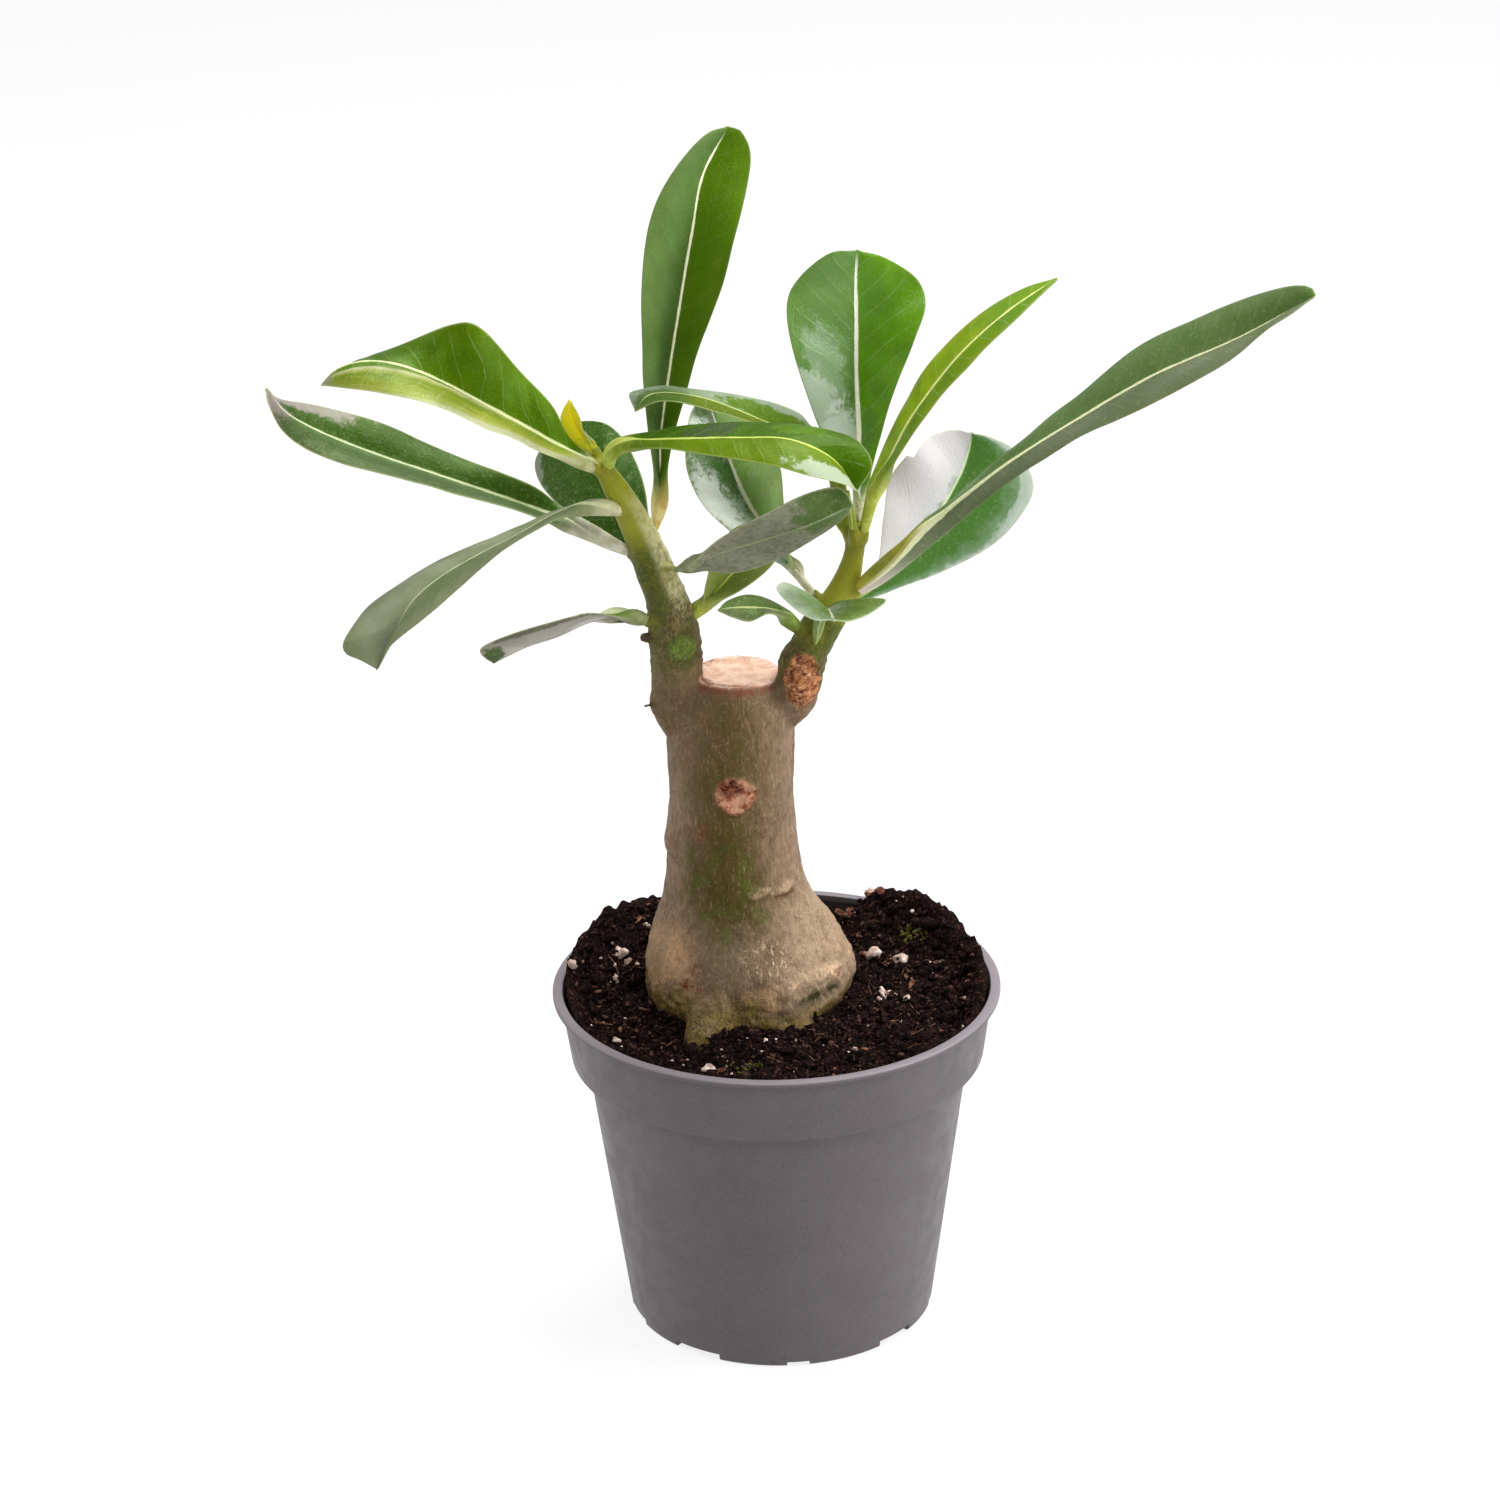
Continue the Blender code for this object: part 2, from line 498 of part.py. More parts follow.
def stem_gap(points, stem):
    """How far each point lies outside a stem's round surface, in mm."""
    starts, steps = stem[:-1], np.diff(stem, axis=0)
    share = ((points[:, None] - starts[:, :3]) * steps[:, :3]).sum(axis=-1)
    share = np.clip(share / (steps[:, :3] ** 2).sum(axis=-1), 0, 1)
    nearest = starts + share[..., None] * steps
    return (np.linalg.norm(points[:, None] - nearest[..., :3], axis=-1) - nearest[..., 3]).min(axis=1)


def trimmed(guides, stem):
    """The guides from where the leaf clears its stem, in ALONG steps."""
    left, rib, right = guides
    heading = np.gradient(rib, axis=0)
    gaps = []
    for margin in (left, right):
        normal = np.cross(heading, margin - rib)
        normal *= LEAF_THICKNESS / 2 / np.linalg.norm(normal, axis=1, keepdims=True)
        for line in (rib, margin):
            gaps += [stem_gap(line + normal, stem), stem_gap(line - normal, stem)]
    touching = np.nonzero(np.min(gaps, axis=0) < CLEARANCE)[0]
    rows = np.arange(TRIM_SAMPLES + 1)
    kept = np.linspace(touching.max() + 1, TRIM_SAMPLES, ALONG + 1)
    return [np.stack([np.interp(kept, rows, column) for column in guide.T], axis=-1)
            for guide in guides]


def make_leaf(name, spec, parts, finish, stem):
    left, rib, right = trimmed(leaf_guides(spec), stem)
    sheet = bmesh.new()
    bmesh.ops.create_grid(sheet, x_segments=ALONG, y_segments=2 * ACROSS, size=1.0)
    for vertex in sheet.verts:
        row = round((vertex.co.x + 1) / 2 * ALONG)
        side = vertex.co.y
        margin = left[row] if side > 0 else right[row]
        vertex.co = (rib[row] + (margin - rib[row]) * abs(side)) * MM
    bmesh.ops.triangulate(sheet, faces=sheet.faces)
    mesh = bpy.data.meshes.new(name)
    sheet.to_mesh(mesh)
    sheet.free()
    leaf = mesh_object(name, parts, mesh, finish)
    solid = leaf.modifiers.new("thickness", "SOLIDIFY")
    solid.thickness = LEAF_THICKNESS * MM
    solid.offset = 0.0
    return leaf


def main():
    clear_scene()
    parts = collection("potted_desert_rose")
    cutters = collection("cutters")
    plastic = material("pot_plastic", (0.13, 0.12, 0.13), 0.5)
    peat = material("potting_soil", (0.025, 0.014, 0.01), 0.95)
    trunk_bark = material("trunk_bark", (0.27, 0.21, 0.1), 0.65)
    stem_bark = material("stem_bark", (0.25, 0.27, 0.09), 0.6)

    make_pot(parts, cutters, plastic)

    trunk_knots = [(x, y, z, radius) for z, x, y, radius in TRUNK_RINGS]
    tube("trunk", parts, trunk_knots, TRUNK_SIDES, TRUNK_STATIONS, trunk_bark)
    trunk_space = tube("trunk_space", cutters, trunk_knots, TRUNK_SIDES, TRUNK_STATIONS, grow=CLEARANCE)
    hide_cutter(trunk_space)
    make_soil(parts, peat, trunk_space)

    stems = {"left_stem": LEFT_STEM, "right_stem": RIGHT_STEM}
    for name, knots in stems.items():
        stem = tube(name, parts, knots, STEM_SIDES, STEM_STATIONS, stem_bark)
        cut(stem, trunk_space)

    for name, spec in LEAVES.items():
        finish = material(name, spec["colour"], LEAF_ROUGHNESS)
        make_leaf(name, spec, parts, finish, smooth_points(stems[spec["stem"]], STEM_STATIONS))


main()
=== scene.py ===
"""Looks of the potted desert rose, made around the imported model.

The finer pot, soil, trunk with its stems, and leaves replace the plain solids. Tables are in
millimetres in the model's own frame: +Z up, -Y the front. A colour is six hexadecimal digits.
"""

from itertools import product
from math import cos, pi, radians, sin, tau

import bmesh
import bpy
import numpy as np
from mathutils import Matrix


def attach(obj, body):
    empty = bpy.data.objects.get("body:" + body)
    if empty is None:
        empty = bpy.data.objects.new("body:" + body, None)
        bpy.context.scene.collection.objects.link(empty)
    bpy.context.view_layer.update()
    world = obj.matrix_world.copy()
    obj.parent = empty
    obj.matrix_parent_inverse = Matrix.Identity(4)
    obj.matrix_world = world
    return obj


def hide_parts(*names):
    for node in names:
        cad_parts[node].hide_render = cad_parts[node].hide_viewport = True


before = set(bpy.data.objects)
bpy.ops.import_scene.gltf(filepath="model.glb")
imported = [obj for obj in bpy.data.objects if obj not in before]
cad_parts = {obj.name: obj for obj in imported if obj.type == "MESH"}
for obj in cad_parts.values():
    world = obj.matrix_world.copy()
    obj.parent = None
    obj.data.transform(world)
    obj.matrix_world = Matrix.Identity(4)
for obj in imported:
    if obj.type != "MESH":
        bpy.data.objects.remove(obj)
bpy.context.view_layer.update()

MM = 0.001


# ---- small tools ------------------------------------------------------------------------
def rgb(code):
    """The colour of that code, made linear. Anything else is passed on."""
    if not isinstance(code, str):
        return code
    parts = [int(code[i:i + 2], 16) / 255 for i in (0, 2, 4)]
    return tuple(c / 12.92 if c <= 0.04045 else ((c + 0.055) / 1.055) ** 2.4 for c in parts) + (1.0,)


def smoothstep(low, high, value):
    t = np.clip((value - low) / (high - low), 0, 1)
    return t * t * (3 - 2 * t)


def ridge_at(value, width):
    """1 where the value is 0, falling off on both sides like a bell."""
    return np.exp(-(value / width) ** 2)


def hashed(cell, seed):
    n = cell[..., 0] * 73856093 ^ cell[..., 1] * 19349663 ^ cell[..., 2] * 83492791 ^ seed * 7919
    n = (n ^ (n >> 13)) * 1274126177
    n = (n ^ (n >> 16)) * 668265263
    return ((n >> 8) & 0xFFFF) / 32767.5 - 1


def noise(points, size, seed=0):
    """Smooth noise from -1 to 1, with cells of that size in mm."""
    points = points / np.asarray(size, float)
    cell = np.floor(points).astype(np.int64)
    part = points - cell
    part = part ** 3 * (part * (part * 6 - 15) + 10)
    total = 0
    for corner in product((0, 1), repeat=3):
        weight = np.ones(len(points))
        for axis, step in enumerate(corner):
            weight = weight * (part[:, axis] if step else 1 - part[:, axis])
        total = total + weight * hashed(cell + np.array(corner), seed)
    return total


def fractal(points, size, octaves, seed=0):
    return sum(noise(points, np.asarray(size, float) / 2 ** k, seed + k) / 2 ** k for k in range(octaves))


def length_of(vectors):
    return np.linalg.norm(vectors, axis=-1)


def unit(vectors):
    return vectors / np.linalg.norm(vectors, axis=-1, keepdims=True)


def spun(points, angle):
    """The points, turned about the upright axis."""
    x, y, z = np.array(points, float).T
    return np.column_stack((x * cos(angle) - y * sin(angle), x * sin(angle) + y * cos(angle), z))


def new_mesh(name, points_mm, faces, material):
    mesh = bpy.data.meshes.new(name)
    mesh.from_pydata((np.asarray(points_mm, float) * MM).tolist(), [], faces)
    mesh.materials.append(material)
    mesh.shade_smooth()
    obj = bpy.data.objects.new(name, mesh)
    bpy.context.scene.collection.objects.link(obj)
    return obj


def bake_modifiers(obj):
    bpy.context.view_layer.update()
    mesh = bpy.data.meshes.new_from_object(obj.evaluated_get(bpy.context.evaluated_depsgraph_get()))
    obj.modifiers.clear()
    obj.data = mesh
    mesh.shade_smooth()
    return mesh


def read(items, key, width, kind=float):
    found = np.zeros(len(items) * width, kind)
    items.foreach_get(key, found)
    return found.reshape(-1, width)


def places(mesh):
    """The vertices' places in mm."""
    return read(mesh.vertices, "co", 3) / MM


def outward(mesh):
    return read(mesh.vertices, "normal", 3)


def store(mesh, name, values):
    """Keeps one number or one vector a vertex, for the material to read."""
    values = np.asarray(values, np.float32)
    kind, key = ("FLOAT", "value") if values.ndim == 1 else ("FLOAT_VECTOR", "vector")
    mesh.attributes.new(name, kind, "POINT").data.foreach_set(key, values.ravel())


def settle(obj, slot, *nodes):
    """Rides on the plant and stands for those solids. The slot is not used."""
    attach(obj, "root")
    if nodes:
        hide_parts(*nodes)


def skin(rings, sides):
    """Faces of a closed body of that many rings, with one point before them and one after."""
    faces, last = [], 1 + rings * sides
    for k in range(sides):
        n = (k + 1) % sides
        faces.append((0, 1 + k, 1 + n))
        for a in range(1, last - sides, sides):
            b = a + sides
            faces.append((a + k, b + k, b + n, a + n))
        a = last - sides
        faces.append((last, a + n, a + k))
    return faces


def smooth_points(points, count):
    """count + 1 points, evenly spaced, on the Catmull-Rom curve through the points."""
    knots = np.array(points, float)
    if len(knots) == 2:
        knots = np.array((knots[0], knots.mean(axis=0), knots[1]))
    knots = np.vstack((2 * knots[0] - knots[1], knots, 2 * knots[-1] - knots[-2]))
    fine = []
    for before, start, end, after in zip(knots, knots[1:], knots[2:], knots[3:]):
        for t in np.linspace(0, 1, 16, endpoint=False):
            fine.append(0.5 * (2 * start + (end - before) * t
                               + (2 * before - 5 * start + 4 * end - after) * t ** 2
                               + (3 * start - before - 3 * end + after) * t ** 3))
    fine = np.array(fine + [knots[-2]])
    travelled = distance_along(fine[:, :3])
    stations = np.linspace(0, travelled[-1], count + 1)
    return np.stack([np.interp(stations, travelled, column) for column in fine.T], axis=-1)


def distance_along(points):
    return np.concatenate(((0.0,), np.cumsum(length_of(np.diff(points, axis=0)))))


def tube(knots, stations, sides, level=False):
    """Vertices and faces of a closed round body along a smooth curve. level: rings lie flat."""
    rows = smooth_points(knots, stations)
    heading = unit(np.gradient(rows[:, :3], axis=0))
    side = unit(np.cross(heading, (0.31, 1.0, 0.17)))
    other = np.cross(heading, side)
    if level:
        side, other = np.zeros_like(side) + (1, 0, 0), np.zeros_like(side) + (0, 1, 0)
    angles = np.arange(sides) / sides * tau
    points = [rows[0, :3]]
    for row, a, b in zip(rows, side, other):
        points += [row[:3] + row[3] * (cos(t) * a + sin(t) * b) for t in angles]
    return points + [rows[-1, :3]], skin(stations + 1, sides)


def ball(centre, radii, subdivisions=4):
    body = bmesh.new()
    bmesh.ops.create_icosphere(body, subdivisions=subdivisions, radius=1.0)
    points = [np.array(v.co) * radii + centre for v in body.verts]
    faces = [tuple(v.index for v in f.verts) for f in body.faces]
    body.free()
    return points, faces


def join_bodies(bodies):
    points, faces = [], []
    for body_points, body_faces in bodies:
        start = len(points)
        points += list(body_points)
        faces += [tuple(i + start for i in face) for face in body_faces]
    return points, faces


class Finish:
    """A material and short ways to add nodes to it. Vectors from mm() are in millimetres."""

    def __init__(self, name, **settings):
        self.material = bpy.data.materials.new(name)
        self.material.use_nodes = True
        self.tree = self.material.node_tree
        self.shader = self.tree.nodes["Principled BSDF"]
        for key, value in settings.items():
            self.shader.inputs[key.replace("_", " ")].default_value = value
        self.coordinates = None

    def put(self, value, socket):
        if isinstance(value, bpy.types.NodeSocket):
            self.tree.links.new(value, socket)
        else:
            socket.default_value = value

    def add(self, kind, *values, output=0, **settings):
        """A node of that kind with those settings, its first inputs filled. Returns one output."""
        node = self.tree.nodes.new("ShaderNode" + kind)
        for key, value in settings.items():
            setattr(node, key, value)
        for value, socket in zip(values, node.inputs):
            self.put(value, socket)
        return node.outputs[output]

    def math(self, operation, *values, clamp=False):
        return self.add("Math", *values, operation=operation, use_clamp=clamp)

    def times(self, *values):
        total = values[0]
        for value in values[1:]:
            total = self.math("MULTIPLY", total, value)
        return total

    def times_plus(self, *values):
        return self.math("MULTIPLY_ADD", *values)

    def shaken(self, value, cloud, share):
        """The value, pushed up and down by a noise by that share of it."""
        return self.times_plus(self.math("SUBTRACT", cloud, 0.5), share, value)

    def mix(self, factor, first, second):
        node = self.tree.nodes.new("ShaderNodeMix")
        node.data_type = "RGBA"
        for value, place in ((factor, 0), (rgb(first), 6), (rgb(second), 7)):
            self.put(value, node.inputs[place])
        return node.outputs[2]

    def span(self, value, low, high, to_low=0.0, to_high=1.0):
        """A smooth step from to_low to to_high as the value goes from low to high."""
        return self.add("MapRange", value, low, high, to_low, to_high, interpolation_type="SMOOTHSTEP")

    def two(self, first, second, *measure):
        """From the first colour to the second, by a span."""
        return self.mix(self.span(*measure), first, second)

    def layers(self, colour, *rows):
        """Colours laid over one another. A row: mesh attribute or "", colour, share or a span."""
        for name, code, *measure in rows:
            shares = [self.attribute(name)] if name else []
            if measure:
                shares.append(self.span(*measure) if len(measure) > 1 else measure[0])
            colour = self.mix(self.times(*shares), colour, code)
        return colour

    def mm(self):
        if self.coordinates is None:
            place = self.add("TexCoord", output="Object")
            self.coordinates = self.add("VectorMath", place, operation="SCALE")
            self.coordinates.node.inputs["Scale"].default_value = 1 / MM
        return self.coordinates

    def stretched(self, vector, factors):
        return self.add("VectorMath", vector, factors, operation="MULTIPLY")

    def noise(self, size, detail=2.0, vector=None, stretch=None, distortion=0.0, roughness=0.5):
        vector = vector or self.mm()
        if stretch:
            vector = self.stretched(vector, stretch)
        found = self.add("TexNoise", vector)
        for key, value in (("Scale", 1 / size), ("Detail", detail), ("Distortion", distortion),
                           ("Roughness", roughness)):
            found.node.inputs[key].default_value = value
        return found

    def cells(self, size, feature="F1", vector=None):
        found = self.add("TexVoronoi", vector or self.mm(), feature=feature)
        found.node.inputs["Scale"].default_value = 1 / size
        return found

    def attribute(self, name, output="Fac"):
        return self.add("Attribute", attribute_name=name, output=output)

    def split(self, vector):
        return self.add("SeparateXYZ", vector).node.outputs

    def ramp(self, value, codes):
        """The colours of those codes, evenly spaced, or each at the place after its @."""
        found = self.add("ValToRGB", value)
        elements = found.node.color_ramp.elements
        elements.remove(elements[-1])
        codes = codes.split()
        for k, code in enumerate(codes):
            code, _, place = code.partition("@")
            place = float(place or k / (len(codes) - 1))
            element = elements.new(place) if k else elements[0]
            element.position, element.color = place, rgb(code)
        return found

    def colour(self, value):
        self.put(value, self.shader.inputs["Base Color"])

    def roughness(self, value):
        self.put(value, self.shader.inputs["Roughness"])

    def bump(self, height, distance_mm, strength=1.0):
        node = self.tree.nodes.new("ShaderNodeBump")
        for key, value in (("Strength", strength), ("Distance", distance_mm * MM), ("Height", height)):
            self.put(value, node.inputs[key])
        self.put(node.outputs[0], self.shader.inputs["Normal"])


# ---- camera, floor and light --------------------------------------------------------------
CAMERA_PLACE = (0, -1.0, 0.5641)     # m
CAMERA_TURNS = (-0.294, 22.893, -1.130)   # degrees: yaw, downward pitch, roll
SENSOR = 36.0
LENS = 113.448
FLOOR_HALF = 40000
SKY = 0.25
FLOOR_GLOW = 0.82
LAMP_TARGET = (0, 0, 0.16)
# name, place (m), width and height (m), power (W)
LIGHTS = (
    ("right_softbox", (0.85, -0.22, 0.50), (0.5, 0.8), 9.5),
    ("left_softbox", (-0.85, 0.30, 0.60), (0.4, 0.8), 3.2),
    ("top_softbox", (0.30, 0.45, 1.25), (0.8, 0.8), 17.0),
    ("front_softbox", (-0.10, -0.80, 1.10), (0.6, 0.6), 6.0),
)


def stand(name, data, place, *axes):
    """Puts a camera or lamp there. axes: its right, up and backward directions."""
    obj = bpy.data.objects.new(name, data)
    bpy.context.scene.collection.objects.link(obj)
    obj.matrix_world = Matrix.Translation(place) @ Matrix(np.column_stack(axes).tolist()).to_4x4()
    return obj


def make_stage():
    scene = bpy.context.scene
    scene.view_settings.view_transform = "Standard"
    yaw, pitch, roll = (radians(turn) for turn in CAMERA_TURNS)
    forward = np.array((sin(yaw) * cos(pitch), cos(yaw) * cos(pitch), -sin(pitch)))
    right = unit(np.cross(forward, (0, 0, 1)))
    up = np.cross(right, forward)
    right, up = cos(roll) * right + sin(roll) * up, cos(roll) * up - sin(roll) * right
    data = bpy.data.cameras.new("camera")
    data.sensor_width = SENSOR
    data.lens = LENS
    scene.camera = stand("camera", data, CAMERA_PLACE, right, up, -forward)

    paint = Finish("pale_floor", Roughness=0.9, Specular_IOR_Level=0.0, Emission_Strength=FLOOR_GLOW)
    paint.shader.inputs["Emission Color"].default_value = (1, 1, 1, 1)
    paint.colour((0.2, 0.2, 0.2, 1))
    corners = [(x * FLOOR_HALF, y * FLOOR_HALF, 0) for x, y in ((-1, -1), (1, -1), (1, 1), (-1, 1))]
    new_mesh("floor", corners, [(0, 1, 2, 3)], paint.material)

    scene.world = bpy.data.worlds.new("studio")
    scene.world.use_nodes = True
    sky = scene.world.node_tree.nodes["Background"]
    sky.inputs[0].default_value = (1.0, 1.0, 1.0, 1)
    sky.inputs[1].default_value = SKY
    for name, place, size, power in LIGHTS:
        lamp = bpy.data.lights.new(name, "AREA")
        lamp.shape = "RECTANGLE"
        lamp.size, lamp.size_y = size
        lamp.energy = power
        back = unit(np.array(place) - LAMP_TARGET)
        side = unit(np.cross((0, 0, 1), back))
        stand(name, lamp, place, side, np.cross(back, side), back)


# ---- pot ----------------------------------------------------------------------------------
POT_STEPS = 224
POT_TOP = 82.5
# radius, height, rounding of the corner: up the inside, over the lip, down the outside, underneath
POT_PROFILE = (
    (34.8, 3.4, 1.2), (43.8, 66.1, 0.8), (47.55, 66.9, 0.8), (49.6, 81.3, 0.3), (50.2, POT_TOP, 0.35),
    (52.5, POT_TOP, 0.45), (52.5, 81.3, 0.3), (50.75, 81.25, 0.25), (48.5, 65.9, 0.55), (44.9, 64.9, 0.9),
    (36.1, 0.6, 0.4), (35.4, 0.0, 0.2), (33.5, 0.0, 0.15), (33.2, 2.2, 0.3), (6.3, 2.2, 0.3),
    (6.0, 0.0, 0.15),
)
FOOT_RADIUS = 36
# azimuth from the front (degrees), width (degrees), height (mm) of a third of the foot's notches
NOTCHES = ((-34.3, 20.0, 1.9), (5.8, 8.6, 1.3), (47.7, 17.0, 1.9))
BOX_FACES = [(0, 1, 3, 2), (4, 6, 7, 5), (0, 4, 5, 1), (2, 3, 7, 6), (0, 2, 6, 4), (1, 5, 7, 3)]
DRAIN_HOLES = 6
DRAIN_RING = 24
DRAIN_PROFILE = [(0, 6.0), (3.5, 6.0), (3.5, 0.5), (0, 0.5)]


def rounded(profile, steps=4):
    """The profile's corners, each replaced by a small arc."""
    first, last = (0.0, profile[0][1]), (0.0, profile[-1][1])
    points, path = [first], [first, *(p[:2] for p in profile), last]
    for before, corner, after, spec in zip(path, path[1:], path[2:], profile):
        corner = np.array(corner, float)
        to_before, to_after = np.array(before) - corner, np.array(after) - corner
        lengths = length_of(to_before), length_of(to_after)
        to_before, to_after = unit(to_before), unit(to_after)
        half = np.arccos(np.clip(to_before @ to_after, -1, 1)) / 2
        back = min(spec[2] / np.tan(half), 0.45 * min(lengths))
        start, end = corner + to_before * back, corner + to_after * back
        for t in np.linspace(0, 1, steps + 1):
            points.append(tuple((1 - t) ** 2 * start + 2 * t * (1 - t) * corner + t * t * end))
    return points + [last]


def turned(profile, steps):
    """Vertices and faces of a closed turned body. The first and last points lie on the axis."""
    points = [(0, 0, profile[0][1])]
    for radius, height in profile[1:-1]:
        points += [(radius * cos(a), radius * sin(a), height) for a in np.arange(steps) / steps * tau]
    return points + [(0, 0, profile[-1][1])], skin(len(profile) - 2, steps)


def cut_with(obj, cutters):
    for cutter in cutters:
        modifier = obj.modifiers.new("cut", "BOOLEAN")
        modifier.operation = "DIFFERENCE"
        modifier.object = cutter
    bake_modifiers(obj).set_sharp_from_angle(angle=radians(40))
    for cutter in cutters:
        bpy.data.objects.remove(cutter)


def pot_plastic():
    f = Finish("pot_plastic", Specular_IOR_Level=0.5)
    f.colour(f.layers(
        f.two("4e474b", "534c50", f.noise(16, 3), 0.3, 0.7),
        ("", "645b60", f.noise(0.55, 2), 0.42, 0.72, 0, 0.35),
        ("", "3f393d", f.noise(0.9, 1), 0.66, 0.74, 0, 0.5),
        # painted highlight: the lip's top painted lighter; painted shadow: the inner wall above the soil
        # painted near black
        ("lip", "8b8288", 0.75), ("inside", "1a1718", 0.92)))
    f.roughness(f.span(f.noise(5, 2), 0.3, 0.7, 0.42, 0.54))
    f.bump(f.noise(0.5, 3), 0.03, 0.7)
    return f.material


def make_pot():
    plastic = pot_plastic()
    pot = new_mesh("nursery_pot", *turned(rounded(POT_PROFILE), POT_STEPS), plastic)
    cutters = []
    for third, (azimuth, width, height) in product(range(3), NOTCHES):
        across = FOOT_RADIUS * sin(radians(width / 2))
        box = [(x * across, y * 4 - FOOT_RADIUS, z * height) for x, y, z in product((-1, 1), repeat=3)]
        box = spun(box, radians(azimuth + 120 * third))
        cutters.append(new_mesh("notch", box, BOX_FACES, plastic))
    for number in range(DRAIN_HOLES):
        angle = tau * (number + 0.5) / DRAIN_HOLES
        points, faces = turned(DRAIN_PROFILE, 32)
        moved = np.array(points) + (DRAIN_RING * cos(angle), DRAIN_RING * sin(angle), 0)
        cutters.append(new_mesh("drain", moved, faces, plastic))
    cut_with(pot, cutters)
    spots, facing = places(pot.data), outward(pot.data)
    inner = -(spots[:, :2] * facing[:, :2]).sum(axis=1) / length_of(spots[:, :2]).clip(1)
    # masks for the painted shadow on the inner wall above the soil and the painted highlight on the lip's
    # top
    store(pot.data, "inside", np.clip(3 * inner, 0, 1) * smoothstep(POT_TOP, POT_TOP - 0.2, spots[:, 2]))
    store(pot.data, "lip", smoothstep(POT_TOP - 0.6, POT_TOP - 0.1, spots[:, 2]))
    settle(pot, "pot_plastic", "pot")


# ---- soil -----------------------------------------------------------------------------------
# x, y, reach, height of the heaps and hollows
HEAPS = (
    (40.0, 29.0, 13.0, 8.0), (25.0, 39.5, 8.5, 7.2), (33.5, 35.5, 8.0, 2.6), (48.0, 12.0, 9.0, 5.0),
    (-38.0, 29.0, 12.0, 7.6), (-28.0, 39.0, 9.0, 6.4), (-45.0, 17.0, 10.0, 5.6), (-49.0, 5.0, 9.0, 4.0),
    (-46.0, -10.0, 12.0, 2.4), (2.0, -30.0, 10.0, 0.8), (0.0, -47.0, 16.0, 1.8), (34.0, -32.0, 14.0, 2.2),
    (-30.0, -18.0, 9.0, -1.0), (22.0, 2.0, 6.0, -0.8), (-10.5, -22.5, 6.5, 3.0), (-1.0, -25.0, 9.0, 1.6),
    (-32.0, -34.0, 12.0, 2.2), (47.0, -6.0, 12.0, 3.0),
)
SOIL_LEVEL = 77.5
SOIL_RADIUS = 49.45
SOIL_TURNS = 330
SOIL_RINGS = 88
# radius and height of the rings below the surface: down the wall and to the floor of the pot
SOIL_WALL = ((48.1, 72.0), (47.3, 67.4), (43.4, 66.4), (34.4, 3.7))
# x, y, height over the soil, size: pale perlite
PERLITE = (
    (-37.0, 17.7, 0.4, 1.7), (-35.2, 15.6, 0.3, 1.0), (-38.1, 10.0, 0.2, 1.3), (-48.0, 5.3, -0.6, 1.3),
    (25.0, 2.7, 0.4, 1.6), (26.8, 4.6, 0.3, 1.3), (24.2, 0.6, 0.2, 0.9), (29.8, 18.4, 0.4, 1.5),
    (30.5, -0.8, 0.2, 1.2), (23.4, 22.6, 0.4, 1.6), (38.3, 16.2, 0.3, 0.8), (23.4, 45.3, 0.6, 1.4),
    (-37.1, -20.5, 0.3, 1.0), (-15.7, -36.2, 0.3, 1.3), (-2.8, -26.0, 0.2, 0.8), (17.7, -26.3, 0.2, 0.7),
    (10.2, -23.8, 0.2, 0.5), (28.8, -11.3, 0.2, 0.6), (37.2, -25.9, 0.2, 0.5), (44.0, -6.5, 0.2, 0.6),
    (-31.0, 31.0, 0.2, 0.8), (2.0, 43.0, 0.2, 1.1), (-22.0, 36.0, 0.2, 0.9), (-12.0, 44.0, 0.3, 1.0),
)
# x, y, turn (degrees), length, width: reddish bark
BARK_BITS = (
    (16.0, 45.4, 20, 4.6, 3.0), (19.0, 43.2, -30, 4.0, 2.6), (18.7, 40.1, 10, 5.2, 3.0),
    (22.6, 42.6, 60, 3.6, 2.4), (25.4, 39.6, -70, 3.4, 2.2), (15.4, 41.4, 35, 3.2, 2.2),
    (31.9, 8.0, 60, 3.4, 2.8), (34.4, 5.6, -20, 2.4, 1.8), (21.4, 24.4, -15, 4.0, 2.4),
    (-41.2, -12.3, 30, 2.6, 1.8), (-13.2, -37.6, 12, 3.8, 1.8), (20.0, -25.0, 50, 2.6, 1.4),
    (38.0, -20.0, -40, 2.8, 1.6), (-2.0, 42.5, 5, 4.0, 2.0), (-33.0, 30.0, 70, 3.2, 2.0),
)
# x, y of the moss tufts
MOSS = ((31.5, 27.0), (34.0, 24.5), (-8.4, -37.0), (-5.4, -36.4), (-28.0, 24.0))
TUFT_CRUMBS = 16
# how far from the pot's axis a loose piece may lie, and the round patch that the trunk takes up
OPEN_SOIL = 48.2
TRUNK_PATCH = (-6.5, 8, 23.5)
FIBRE_REACH = 47.8


def soil_height(x, y):
    reach = np.hypot(x, y)
    level = SOIL_LEVEL - 0.6 * smoothstep(20, 44, reach)
    low_back = smoothstep(30, 44, y) * smoothstep(30, 12, np.abs(x))
    level = level + 3.6 * smoothstep(43.0, 48.8, reach) * (1 - low_back)
    for hx, hy, reach, height in HEAPS:
        level = level + height * np.exp(-((x - hx) ** 2 + (y - hy) ** 2) / (2 * (reach * 0.62) ** 2))
    flat = np.stack((x, y, np.zeros_like(x)), axis=-1).reshape(-1, 3)
    rough = 0.85 * fractal(flat, 7.0, 3, 71) + 0.75 * fractal(flat, 2.4, 3, 77)
    rough -= 0.9 * ridge_at(noise(flat, 3.4, 91), 0.16)
    return level + rough.reshape(np.shape(x))


def ground(x, y):
    return soil_height(np.array([x]), np.array([y]))[0]


